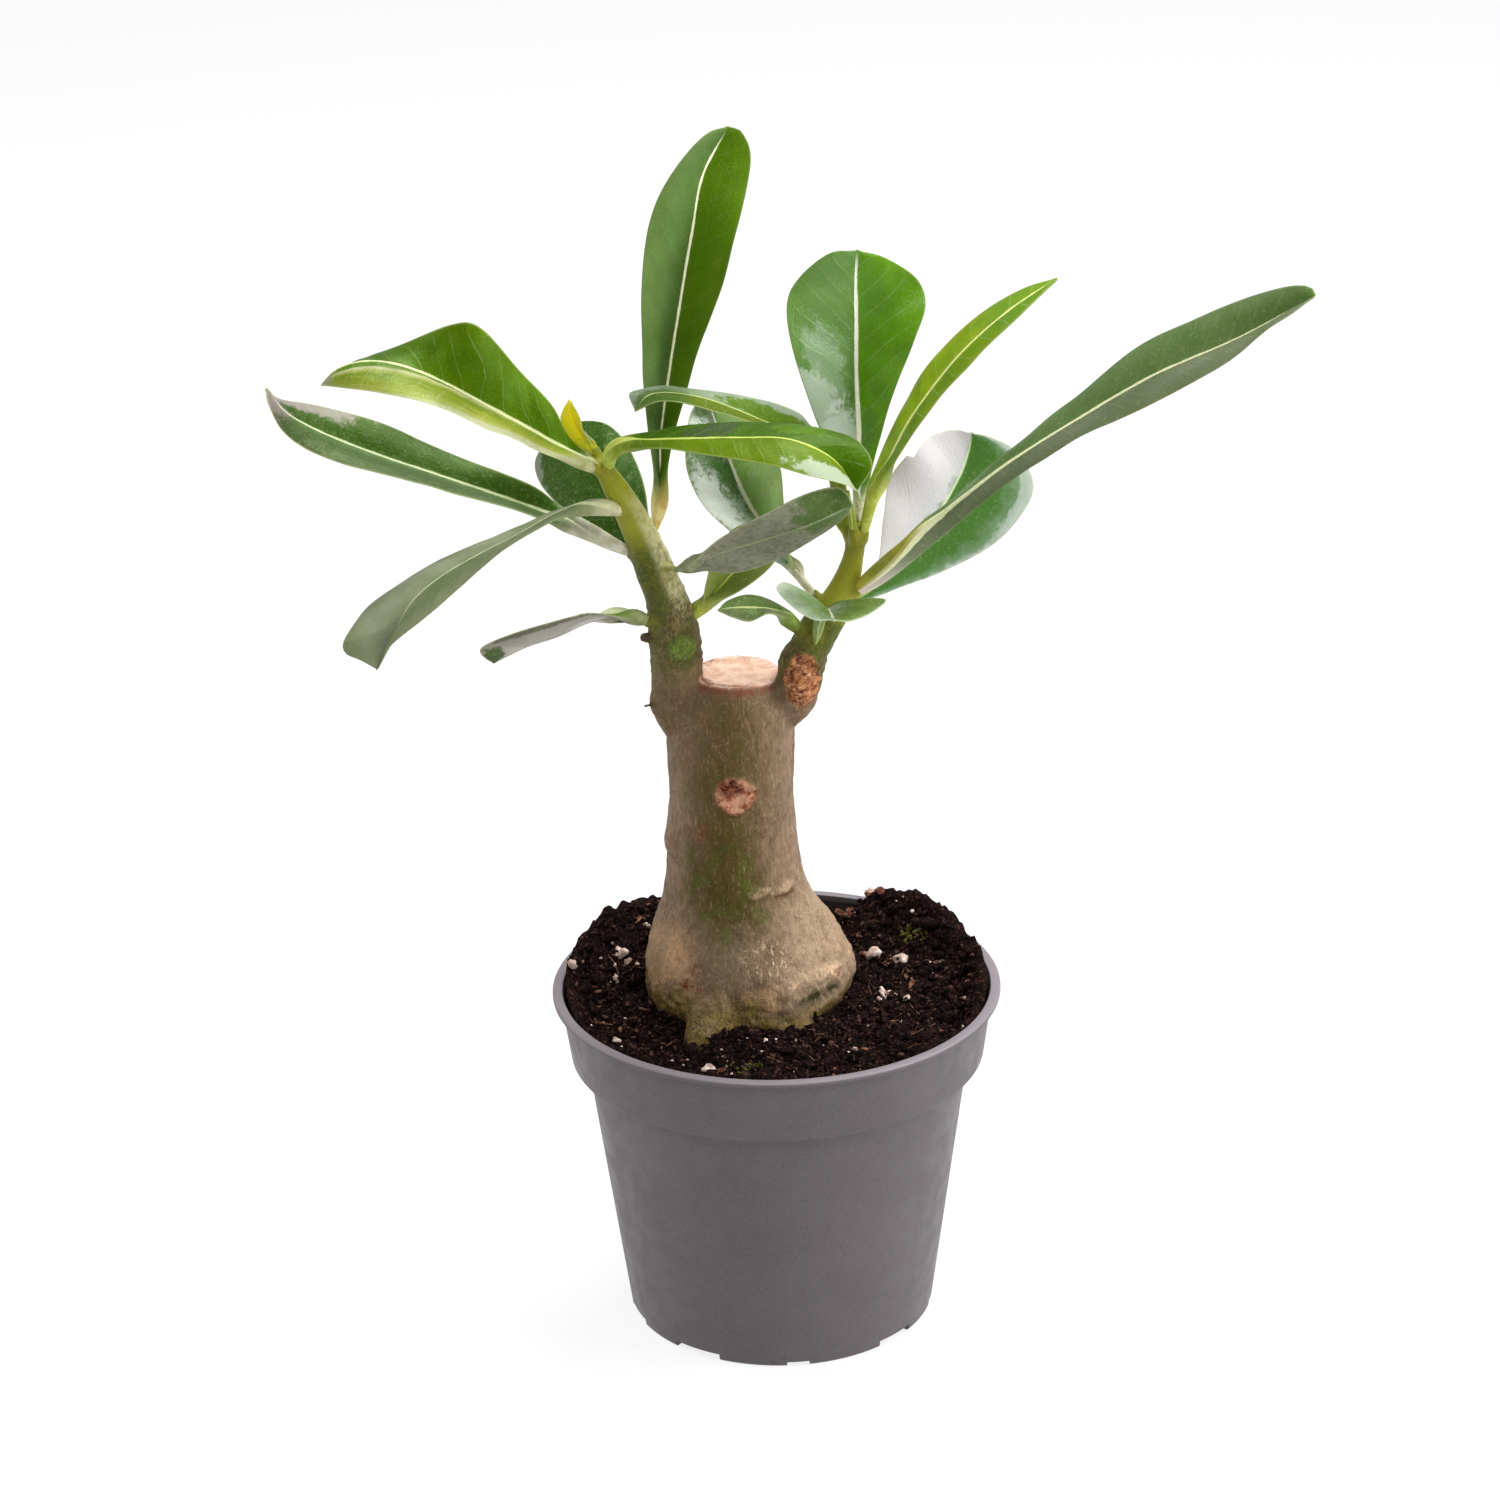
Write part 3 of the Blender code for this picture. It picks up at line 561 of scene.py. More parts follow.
def peat():
    f = Finish("peat", Roughness=0.9, Specular_IOR_Level=0.06)
    fine = f.noise(0.7, 4, roughness=0.7)
    f.colour(f.layers(
        f.two("090404", "1a0f0e", f.noise(4, 4, roughness=0.65), 0.35, 0.65),
        ("", "452c27", fine, 0.52, 0.66, 0, 0.75),
        ("", "6a463a", f.noise(1.2, 3), 0.60, 0.72, 0, 0.6),
        ("", "6c4c3d", f.cells(0.9), 0.16, 0.06, 0, 0.5),
        ("", "080303", fine, 0.48, 0.36)))
    f.bump(fine, 0.5)
    return f.material


def chip_finish(name, dark, light):
    f = Finish(name, Roughness=0.85, Specular_IOR_Level=0.12)
    fine = f.noise(0.7, 3, roughness=0.6)
    f.colour(f.layers(
        f.two(dark, light, f.noise(2.4, 2), 0.38, 0.62),
        ("", dark, fine, 0.56, 0.72, 0, 0.6)))
    f.bump(fine, 0.15, 0.8)
    return f.material


def lump(rng, centre, size, flatness, subdivisions, rough=0.9):
    """A small irregular crumb."""
    points, faces = ball((0, 0, 0), (1, 1, 1), subdivisions)
    points = np.array(points)
    points = points * (1 + rough * fractal(points + rng.uniform(-50, 50, 3), 0.8, 2, 5)[:, None])
    points = points * (1, rng.uniform(0.5, 1.0), flatness)
    turn, tilt = rng.uniform(0, tau), rng.uniform(-0.5, 0.5)
    spin = Matrix.Rotation(turn, 3, "Z") @ Matrix.Rotation(tilt, 3, "X")
    return points @ np.array(spin).T * size + centre, faces


def scattered(rng, count, low, high, power):
    """Places on the open soil, each with a size."""
    while count:
        x, y = rng.uniform(-48, 48, 2)
        size = low + (high - low) * rng.uniform() ** power
        hole_x, hole_y, hole = TRUNK_PATCH
        if np.hypot(x, y) < OPEN_SOIL - size and np.hypot(x - hole_x, y - hole_y) > hole:
            count -= 1
            yield x, y, size


def soil_piece(name, bodies, finish):
    settle(new_mesh(name, *join_bodies(bodies), finish), "potting_soil")


def chip(rng, x, y, radii, turn, subdivisions, rough, tilted):
    """A flat flake of bark. With no turn given, one is drawn, after its shape."""
    points, faces = lump(rng, (0, 0, 0), 1.0, 0.4, subdivisions, rough)
    spin = Matrix.Rotation(rng.uniform(0, tau) if turn is None else turn, 3, "Z")
    if tilted:
        spin = spin @ Matrix.Rotation(rng.uniform(-0.5, 0.5), 3, "Y")
    return points * radii @ np.array(spin).T + (x, y, ground(x, y) + (0.6 if tilted else 0.4)), faces


def fibre(rng, x, y, size):
    """A thin root or stalk lying on the soil."""
    turn, bend = rng.uniform(0, tau), rng.uniform(-1, 1)
    knots = []
    for t in (-1, -0.4, 0.3, 1):
        fx = x + size * t * cos(turn) - size * 0.3 * bend * t * t * sin(turn)
        fy = y + size * t * sin(turn) + size * 0.3 * bend * t * t * cos(turn)
        reach = np.hypot(fx, fy)
        if reach > FIBRE_REACH:
            fx, fy = fx * FIBRE_REACH / reach, fy * FIBRE_REACH / reach
        knots.append((fx, fy, ground(fx, fy) + 0.5, 0.13))
    return tube(knots, 10, 6)


def make_soil():
    angles = np.arange(SOIL_TURNS) / SOIL_TURNS * tau
    rows = []
    for radius in np.linspace(0, 1, SOIL_RINGS + 1)[1:] ** 0.8 * SOIL_RADIUS:
        x, y = radius * np.cos(angles), radius * np.sin(angles)
        rows.append(np.column_stack((x, y, soil_height(x, y))))
    for radius, height in SOIL_WALL:
        rows.append(np.column_stack((radius * np.cos(angles), radius * np.sin(angles),
                                     np.full(SOIL_TURNS, height))))
    points = np.vstack([[(0, 0, ground(0.0, 0.0))], *rows, [(0, 0, SOIL_WALL[-1][1])]])
    brown = peat()
    settle(new_mesh("soil_bed", points, skin(len(rows), SOIL_TURNS), brown), "potting_soil", "soil")

    rng = np.random.default_rng(20)
    soil_piece("soil_crumbs", [lump(rng, (x, y, ground(x, y) + 0.2 * size), size, rng.uniform(0.5, 0.9), 2)
                               for x, y, size in scattered(rng, 360, 0.8, 2.0, 2.4)], brown)

    def strewn(count, low, high, power, rise, flatness):
        """Grit: the rise over the soil and the flatness are each drawn from a range."""
        return [lump(rng, (x, y, ground(x, y) + rng.uniform(*rise)), size, rng.uniform(*flatness), 1)
                for x, y, size in scattered(rng, count, low, high, power)]

    soil_piece("soil_grit", strewn(2300, 0.25, 0.9, 1.2, (0.0, 0.6), (0.5, 1.0)), brown)
    bodies = [lump(rng, (x, y, ground(x, y) + over + 0.3 * size), size, 0.8, 3, 0.55)
              for x, y, over, size in PERLITE]
    bodies += [lump(rng, (x, y, ground(x, y) + 0.35), size, 0.8, 1, 0.4)
               for x, y, size in scattered(rng, 70, 0.25, 0.7, 2)]
    soil_piece("perlite_chips", bodies, chip_finish("perlite", "9c8276", "decbc0"))
    soil_piece("soil_flecks", strewn(1000, 0.2, 0.8, 1.6, (0.2, 1.0), (0.3, 0.8)),
               chip_finish("peat_flecks", "20120f", "523a32"))
    bodies = [chip(rng, x, y, (length / 2, width / 2, width / 2), radians(turn), 3, 0.28, True)
              for x, y, turn, length, width in BARK_BITS]
    bodies += [chip(rng, x, y, (size * 1.5, size * 0.6, size * 0.6), None, 1, 0.3, False)
               for x, y, size in scattered(rng, 60, 0.5, 1.3, 1.5)]
    soil_piece("bark_chips", bodies, chip_finish("bark_bits", "4c2a1e", "86604e"))
    bodies = []
    for x, y in np.repeat(MOSS, TUFT_CRUMBS, axis=0):
        x, y = (x, y) + rng.normal(0, 1.3, 2)
        bodies.append(lump(rng, (x, y, ground(x, y) + 0.5), rng.uniform(0.3, 0.7), 1.1, 1, 0.4))
    soil_piece("moss_tufts", bodies, chip_finish("moss", "23240c", "5a5a20"))
    soil_piece("root_fibres", [fibre(rng, *spot) for spot in scattered(rng, 46, 2.0, 6.0, 1.2)],
               chip_finish("root_fibre", "452c20", "7c5946"))


# ---- trunk and stems ------------------------------------------------------------------------
TRUNK_Y = 8
CUT_X = -7.8
# height, x of the axis, radius
TRUNK_RINGS = (
    (66, -7.0, 20.5), (72, -6.9, 22.6), (76, -6.8, 23.6), (80, -6.4, 24.6), (84.5, -6.1, 24.8),
    (88, -6.5, 23.9), (92, -7.2, 22.3), (96.4, -8.0, 20.0), (101.3, -8.4, 17.8), (107, -9.1, 16.2),
    (115, -9.6, 15.2), (126, -9.9, 14.8), (136, -9.8, 14.8), (145, -9.4, 14.4), (151, -8.7, 13.0),
    (155, -8.0, 11.2), (158, CUT_X, 10.1),
)
# x, y, height, radius
LEFT_STEM = (
    (-17.0, 8, 136, 3.0), (-19.5, 7.5, 144.5, 5.2), (-21.3, 7, 150.5, 6.0), (-21.6, 6.5, 159, 5.9),
    (-21.6, 6, 167, 5.8), (-22.6, 5.5, 173.5, 4.9), (-24, 5, 179, 4.3), (-26, 4, 185.5, 4.1),
    (-28, 3, 191.5, 3.8), (-30.5, 2, 198, 3.4), (-33, 1, 203.5, 2.9), (-35.5, 0.5, 208.5, 2.5),
    (-36.8, 0.1, 211, 2.0), (-37.4, 0, 212.4, 1.2), (-37.6, 0, 213, 0.6),
)
RIGHT_STEM = (
    (0.0, 7, 140, 2.5), (2.0, 6.5, 146, 3.3), (5.4, 4.8, 152.5, 4.7), (7.2, 4, 161, 5.0), (9.6, 4, 166, 4.5),
    (12, 4, 171, 4.4), (15.2, 4, 176, 3.8), (17.4, 4, 181, 3.0), (18.8, 4, 186, 2.3), (19.6, 4, 190, 2.1),
    (20.2, 4, 193, 1.7), (20.4, 4, 194.4, 1.0), (20.5, 4, 195, 0.5),
)
# x, y, height, radius: the root that runs forward from the left foot
ROOT_TOE = (
    (-11.0, -5.0, 84, 6.0), (-14.0, -12.0, 80.5, 6.6), (-16.5, -18.0, 76.8, 5.2), (-18.0, -23.0, 74.2, 3.9),
    (-19.0, -27.5, 72.0, 2.6), (-19.6, -31.0, 69.5, 1.4),
)
# here and below, a lump or spot is x, y, z, radii along x, y, z
LUMPS = (
    (7.2, 1.4, 159.0, 3.4, 3.4, 5.0),      # corky callus at the foot of the right stem
    (3.6, 2.4, 162.4, 1.5, 1.8, 2.2),
    (-20.2, 1.6, 167.0, 2.3, 1.7, 2.3),    # green leaf scar on the left stem
    (-25.6, 6.0, 152.0, 2.4, 3.4, 4.2),    # shoulder where the left stem leaves the trunk
    (3.0, -14.0, 74.0, 9.0, 5.0, 5.8),     # root toes at the soil
    (14.0, 20.0, 74.0, 6.0, 7.0, 6.0),
    (-24.0, 18.0, 75.0, 5.5, 5.0, 5.5),
)
# root and tip of the dry stubs of lost leaves
DRY_STUBS = (((-26.6, 4.5, 168.0), (-29.3, 3.0, 168.9)), ((-26.6, 4.5, 151.6), (-29.2, 2.5, 152.2)))
VOXEL = 0.52
SOCKET_LENGTH = 5.6
SOCKET_RADIUS = 1.25
RIB_ROWS = 60
# where the stems and the root join the trunk, which is smoothed
CROTCHES = ((-18, 5, 154, 9, 14, 12), (2, 5, 155, 9, 13, 12))
TOES = ((-16, -14, 81, 9, 9, 9), (3, -15, 79, 12, 8, 6))
# spots of relief or of colour
HOLLOWS = ((9, -12, 83.6, 6, 6, 3.2), (13.5, -8, 83.4, 5, 6, 3))
DARK_MOSS = ((9, -12, 84.0, 7, 7, 3.6), (13.2, -8, 83.6, 5, 6, 3))
STUB_SPOTS = ((-29, 3.2, 168.8, 2.6, 2.6, 1.8), (-28.8, 3.0, 152.0, 2.6, 2.6, 1.8))
GREEN_PATCHES = (
    (-9.6, -7.2, 118, 7, 9, 13), (-16.5, -5.8, 113, 8, 9, 10), (-8.0, -7.2, 109.5, 9, 9, 9),
    (-6.8, -8.2, 104, 8, 9, 7), (-12.5, -9.1, 101.5, 10, 9, 7),
)
RUST_SPOTS = (
    (-18.6, -11.4, 91.3, 2.6, 4, 2.2), (-21.5, -10.8, 87.5, 3.0, 4, 2.6), (-19.0, -12.4, 87.2, 2.6, 4, 2.0),
    (-17.0, -6.0, 123.4, 3.6, 4, 3.4), (-23.5, 1.0, 113.5, 3, 5, 3), (14.6, -4.0, 86.6, 3, 4, 1.6),
)
# knots of the low ridge over the mossy hollow, of the fold of bark and its two cracks (each with its
# width), and of the crack in the cut
RIDGE = ((1.3, -15.5, 87.4), (5.5, -13.0, 88.6), (9.6, -10.2, 88.9), (15.6, -2.7, 87.2))
FOLD = ((-5.0, -7.4, 108.4), (-1.8, -6.1, 108.9), (1.2, -4.4, 107.9), (5.0, -1.2, 108.4))
CRACKS = ((((0.2, -5.2, 106.9), (3.0, -3.2, 106.5), (4.6, -1.2, 106.6)), 0.8),
          (((3.4, -3.0, 106.6), (5.4, 0.2, 108.4)), 0.7))
CUT_CRACK = ((-16.8, 5.6, 0), (-14.6, 2.4, 0), (-11.2, 0.2, 0), (-6.0, -0.8, 0))
GROWTH_RINGS = (153.5, 158.5, 163.2)


def relaxed(points, edges, weight, rounds):
    """Smooths the points towards the mean of their neighbours."""
    count = np.bincount(edges.ravel(), minlength=len(points))[:, None]
    for _ in range(rounds):
        total = np.zeros_like(points)
        for axis in range(3):
            total[:, axis] = np.bincount(edges[:, 0], points[edges[:, 1], axis], len(points))
            total[:, axis] += np.bincount(edges[:, 1], points[edges[:, 0], axis], len(points))
        points = points + (total / count - points) * weight[:, None]
    return points


def blobs(points, *spots):
    """1 at the centre of each spot, falling smoothly to 0 at its radii."""
    gaps = [smoothstep(0.25, 1.0, length_of((points - spot[:3]) / spot[3:])) for spot in spots]
    return 1 - np.min(gaps, axis=0)


def nearest(points, line):
    """How far the points are from the nearest point of the line, and that point's number."""
    best, where = np.full(len(points), np.inf), np.zeros(len(points))
    for number, spot in enumerate(line):
        far = length_of(points - spot[:3]) / (spot[3] if len(spot) > 3 else 1)
        closer = far < best
        best[closer], where[closer] = far[closer], number
    return best, where


def near_axis(points, knots):
    """How far the points are from a stem's axis, over its radius, and how far along it they are."""
    far, number = nearest(points, smooth_points(knots, RIB_ROWS))
    return far, number / RIB_ROWS


def line_mask(points, knots, width):
    """1 on the smooth line through the knots, falling to 0 at width."""
    return 1 - smoothstep(0.15 * width, width, nearest(points, smooth_points(knots, 24))[0])


def petiole_sockets():
    """A short tapering socket on the stem for each leaf."""
    for spec in LEAVES.values():
        rib = smooth_points(spec["rib"], RIB_ROWS)
        last = max(3, int(round(RIB_ROWS * SOCKET_LENGTH / distance_along(rib)[-1])))
        away = np.linspace(1, 0, last + 1)
        radii = SOCKET_RADIUS * (0.92 + 0.42 * away) * (1 - 0.6 * away ** 6)
        yield tube(np.column_stack((rib[:last + 1], radii)), 8, 14)


def make_trunk():
    bodies = [tube([(x, TRUNK_Y, z, radius) for z, x, radius in TRUNK_RINGS], 110, 128, level=True),
              tube(LEFT_STEM, 90, 40), tube(RIGHT_STEM, 80, 36), tube(ROOT_TOE, 40, 36)]
    bodies += [ball(lump[:3], lump[3:]) for lump in LUMPS]
    bodies += list(petiole_sockets())
    for root, tip in DRY_STUBS:
        middle = np.array(root) * 0.4 + np.array(tip) * 0.6
        bodies.append(tube([(*root, 0.8), (*middle, 0.55), (*tip, 0.4)], 6, 10))
    obj = new_mesh("trunk_and_stems", *join_bodies(bodies), trunk_bark())
    remesh = obj.modifiers.new("remesh", "REMESH")
    remesh.mode = "VOXEL"
    remesh.voxel_size = VOXEL * MM
    mesh = bake_modifiers(obj)
    edges = read(mesh.edges, "vertices", 2, np.int64)
    p = places(mesh)
    p = relaxed(p, edges, 0.85 * blobs(p, *CROTCHES), 12)
    p = relaxed(p, edges, 0.85 * blobs(p, *TOES), 14)
    feet = np.zeros(len(p))
    for spec in LEAVES.values():
        start, after = np.array(spec["rib"][:2], float)
        near = length_of(p - (start * 0.6 + after * 0.4)) < 9
        feet = np.maximum(feet, blobs(p, (*start, 6, 6, 6)) * near)
    p = relaxed(p, edges, 0.8 * feet, 7)
    flat_top = smoothstep(155.5, 157.2, p[:, 2]) * (np.hypot(p[:, 0] - CUT_X, p[:, 1] - TRUNK_Y) < 12.5)
    p = relaxed(p, edges, 0.4 * (1 - flat_top), 2)
    set_places(mesh, p)
    shape_trunk(mesh)
    settle(obj, "trunk_bark", "trunk", "left_stem", "right_stem")


def set_places(mesh, points):
    mesh.vertices.foreach_set("co", (points * MM).ravel())
    mesh.update()


def shape_trunk(mesh):
    """Bark relief, scars and the cut, and the masks that the material reads."""
    p, n = places(mesh), outward(mesh)
    x, y, z = p.T
    left_far, left_way = near_axis(p, LEFT_STEM)
    right_far, right_way = near_axis(p, RIGHT_STEM)
    on_left = left_far < right_far
    heights, axis_x, _ = np.transpose(TRUNK_RINGS)
    # 0 at the front, growing to the right
    angle = np.arctan2(x - np.interp(z, heights, axis_x), TRUNK_Y - y)
    is_stem = smoothstep(0.25, 0.36, np.where(on_left, left_way, right_way))
    is_stem = np.where(z > 146, is_stem, 0) * (np.minimum(left_far, right_far) < 1.35)
    is_stem = np.maximum(is_stem, smoothstep(164, 168, z))
    young = np.where(on_left, smoothstep(0.30, 0.86, left_way), smoothstep(0.30, 0.72, right_way)) * is_stem
    trunk = 1 - is_stem

    cut_far = np.hypot(x - CUT_X, y - TRUNK_Y)
    cut = (z > 156.6) & (cut_far < 10.6) & (n[:, 2] > 0.4)
    streak = fractal(p * (1, 1, 0.22), 2.4, 3, 3)
    push = 0.42 * fractal(p, 13, 2, 11) + 0.10 * streak + 0.08 * fractal(p, 1.7, 2, 21)
    push *= 1 - 0.75 * young
    push += 0.22 * is_stem - 0.16 * ridge_at(noise(p * (1, 1, 0.14), 3.1, 87), 0.12) * trunk
    # long low ribs and hollows of the swollen base
    ribs = 0.35 * np.sin(angle * 3.0 + 0.9) + 0.2 * np.sin(angle * 7.0 + z * 0.05)
    push += smoothstep(112, 92, z) * trunk * ribs
    lumps = 0.34 * fractal(p, (2.6, 2.6, 1.8), 3, 24) + 0.35 * fractal(p, 6.0, 2, 27)
    push += smoothstep(97, 84, z) * trunk * lumps
    # the raised ridge over the hollow; with the fold it also carries a painted highlight along the crests
    ridge = line_mask(p, RIDGE, 2.6) * (0.75 + 0.5 * noise(p, 3.2, 71))
    push += 1.0 * ridge - 1.1 * blobs(p, *HOLLOWS)
    # a fold of bark with a crack, and a step on the left
    fold = line_mask(p, FOLD, 1.9)
    crack = np.max([line_mask(p, *line) for line in CRACKS], axis=0)
    push += 0.75 * fold - 0.9 * crack - 0.5 * blobs(p, (4, -3, 104.3, 7, 6, 2.2))
    push += 0.8 * blobs(p, (-24, 2, 117, 4, 9, 4)) - 0.6 * blobs(p, (-24, 2, 112.6, 4, 9, 3))
    # front pruning scar: a swollen rim around a rough pit
    scar_far = np.hypot((x + 8.7) / 4.6, (z - 133.3) / 4.3) + 0.09 * fractal(p, 2.6, 2, 5)
    scar_far = np.where(y < 0, scar_far, 9)
    push += 0.9 * ridge_at(scar_far - 0.80, 0.28) * (1 + 0.8 * noise(p, 1.5, 8))
    pit_far = np.hypot((x + 9.8) / 3.6, (z - 134.9) / 2.6) + 0.35 * fractal(p, 1.8, 2, 12)
    pit = (1 - smoothstep(0.6, 1.0, pit_far)) * (y < 0)
    push += pit * (0.9 * fractal(p, 1.2, 2, 9) - 0.8)
    callus = blobs(p, (7.2, -0.6, 159.0, 5.4, 5.4, 8.2)) * (y < 4.2)
    callus = smoothstep(0.12, 0.4, callus + 0.16 * fractal(p, 2.2, 2, 37))
    push += callus * (1.1 * fractal(p, (2.4, 2.4, 1.8), 3, 31) + 0.5 * fractal(p, 1.1, 2, 33) + 0.1)
    # green leaf scar, a ring with a dent
    ring_far = np.where(y < 3.5, np.hypot((x + 20.2) / 2.6, (z - 167.0) / 2.6), 9)
    push += 0.8 * ridge_at(ring_far - 0.8, 0.25) - 0.5 * ridge_at(ring_far, 0.4)
    # growth rings and old leaf scars on the stems
    push += is_stem * (1 - young) * 0.32 * fractal(p, (2.6, 2.6, 1.5), 2, 41)
    for height in GROWTH_RINGS:
        push -= 0.28 * is_stem * ridge_at(z - height - 0.5 * noise(p, 5, 43), 0.5)
    p = p + n * np.where(cut, 0, push)[:, None]

    # the cut itself: nearly flat, a hollow pith, a raised torn rim, a crack
    dip = 0.5 * smoothstep(8.5, 3, cut_far) - 0.25 * smoothstep(8.6, 9.8, cut_far)
    cut_crack = line_mask(p * (1, 1, 0), CUT_CRACK, 1.2) * (0.6 + 0.8 * np.abs(noise(p, 1.6, 57)))
    p[:, 2] -= np.where(cut, dip + 0.7 * cut_crack - 0.1 * fractal(p, 1.6, 2, 51), 0)
    set_places(mesh, p)

    # olive bark down the front and the back; down the front it is also painted shade, darkening the less lit
    # middle
    olive = ridge_at(angle + 0.12, 0.6) * smoothstep(98, 108, z) * smoothstep(160, 152, z)
    olive = np.maximum(olive, 0.8 * ridge_at(angle - 2.7, 0.6) * smoothstep(95, 115, z))
    left_foot = blobs(p, (-26.5, -5, 88.5, 17, 19, 16)) * (0.9 + 0.6 * fractal(p, 6, 2, 81))
    moss = smoothstep(90, 80.5, z + 2.2 * noise(p, 6, 63)) * smoothstep(0, -10, x + 4 * noise(p, 5, 64))
    moss = np.maximum(moss, 0.9 * smoothstep(82.5, 78.5, z + 1.2 * noise(p, 4, 66)))
    socket = np.zeros(len(p))
    for spec in LEAVES.values():
        rib = smooth_points(spec["rib"], RIB_ROWS)
        foot = rib[length_of(rib - rib[0]) < SOCKET_LENGTH]
        socket = np.maximum(socket, 1 - smoothstep(1.6, 3.4, nearest(p, foot)[0]))
    beside = x - np.interp(z, *np.transpose(LEFT_STEM)[[2, 0]])
    masks = dict(
        olive=olive, green=blobs(p, *GREEN_PATCHES), grey=blobs(p, (-12.5, -11.5, 94, 10, 8, 11)),
        # painted shadow of the leaves on the upper trunk, left of the middle
        under_crown=smoothstep(130, 148, z) * smoothstep(-4, -14, x) * trunk,
        tan=np.maximum(left_foot, 0.8 * blobs(p, (-2.6, -16.2, 85.4, 6.5, 5, 4.2))),
        pale=smoothstep(-4, 9, x) * smoothstep(116, 98, z) * smoothstep(78, 86, z) * trunk,
        moss=np.maximum(moss, blobs(p, (-17, -17, 79, 9, 12, 9))), dark_moss=blobs(p, *DARK_MOSS),
        soil_line=smoothstep(79.2, 77.4, z + 0.8 * noise(p, 2.2, 65)), rust=blobs(p, *RUST_SPOTS),
        crack=crack, ridge=np.maximum(ridge, 0.45 * fold), socket=socket, stub=blobs(p, *STUB_SPOTS),
        scratched=blobs(p, (-2.5, -12.5, 93.5, 8.5, 7, 7)), scar_pit=pit,
        scar_rim=1 - smoothstep(0.85, 1.12, scar_far), callus=callus,
        green_scar=np.exp(-(ring_far / 1.1) ** 4), stem=is_stem, young=young,
        # cream skin on the right side of the left stem, painted paler there as a painted highlight of its
        # lit side
        cream=smoothstep(0.3, 2.4, beside) * smoothstep(168, 180, z) * smoothstep(207, 200, z) * (x < 0),
        cut_face=cut * smoothstep(10.4, 9.7, cut_far), cut_crack=cut * cut_crack,
        cut_dirt=cut * smoothstep(6.2, 9.6, cut_far) * (0.8 - 0.06 * (x - CUT_X)),
        cut_rim=(z > 155.9) * ridge_at(cut_far - 10.1, 0.7) * trunk)
    for name, value in masks.items():
        store(mesh, name, np.clip(value, 0, 1))


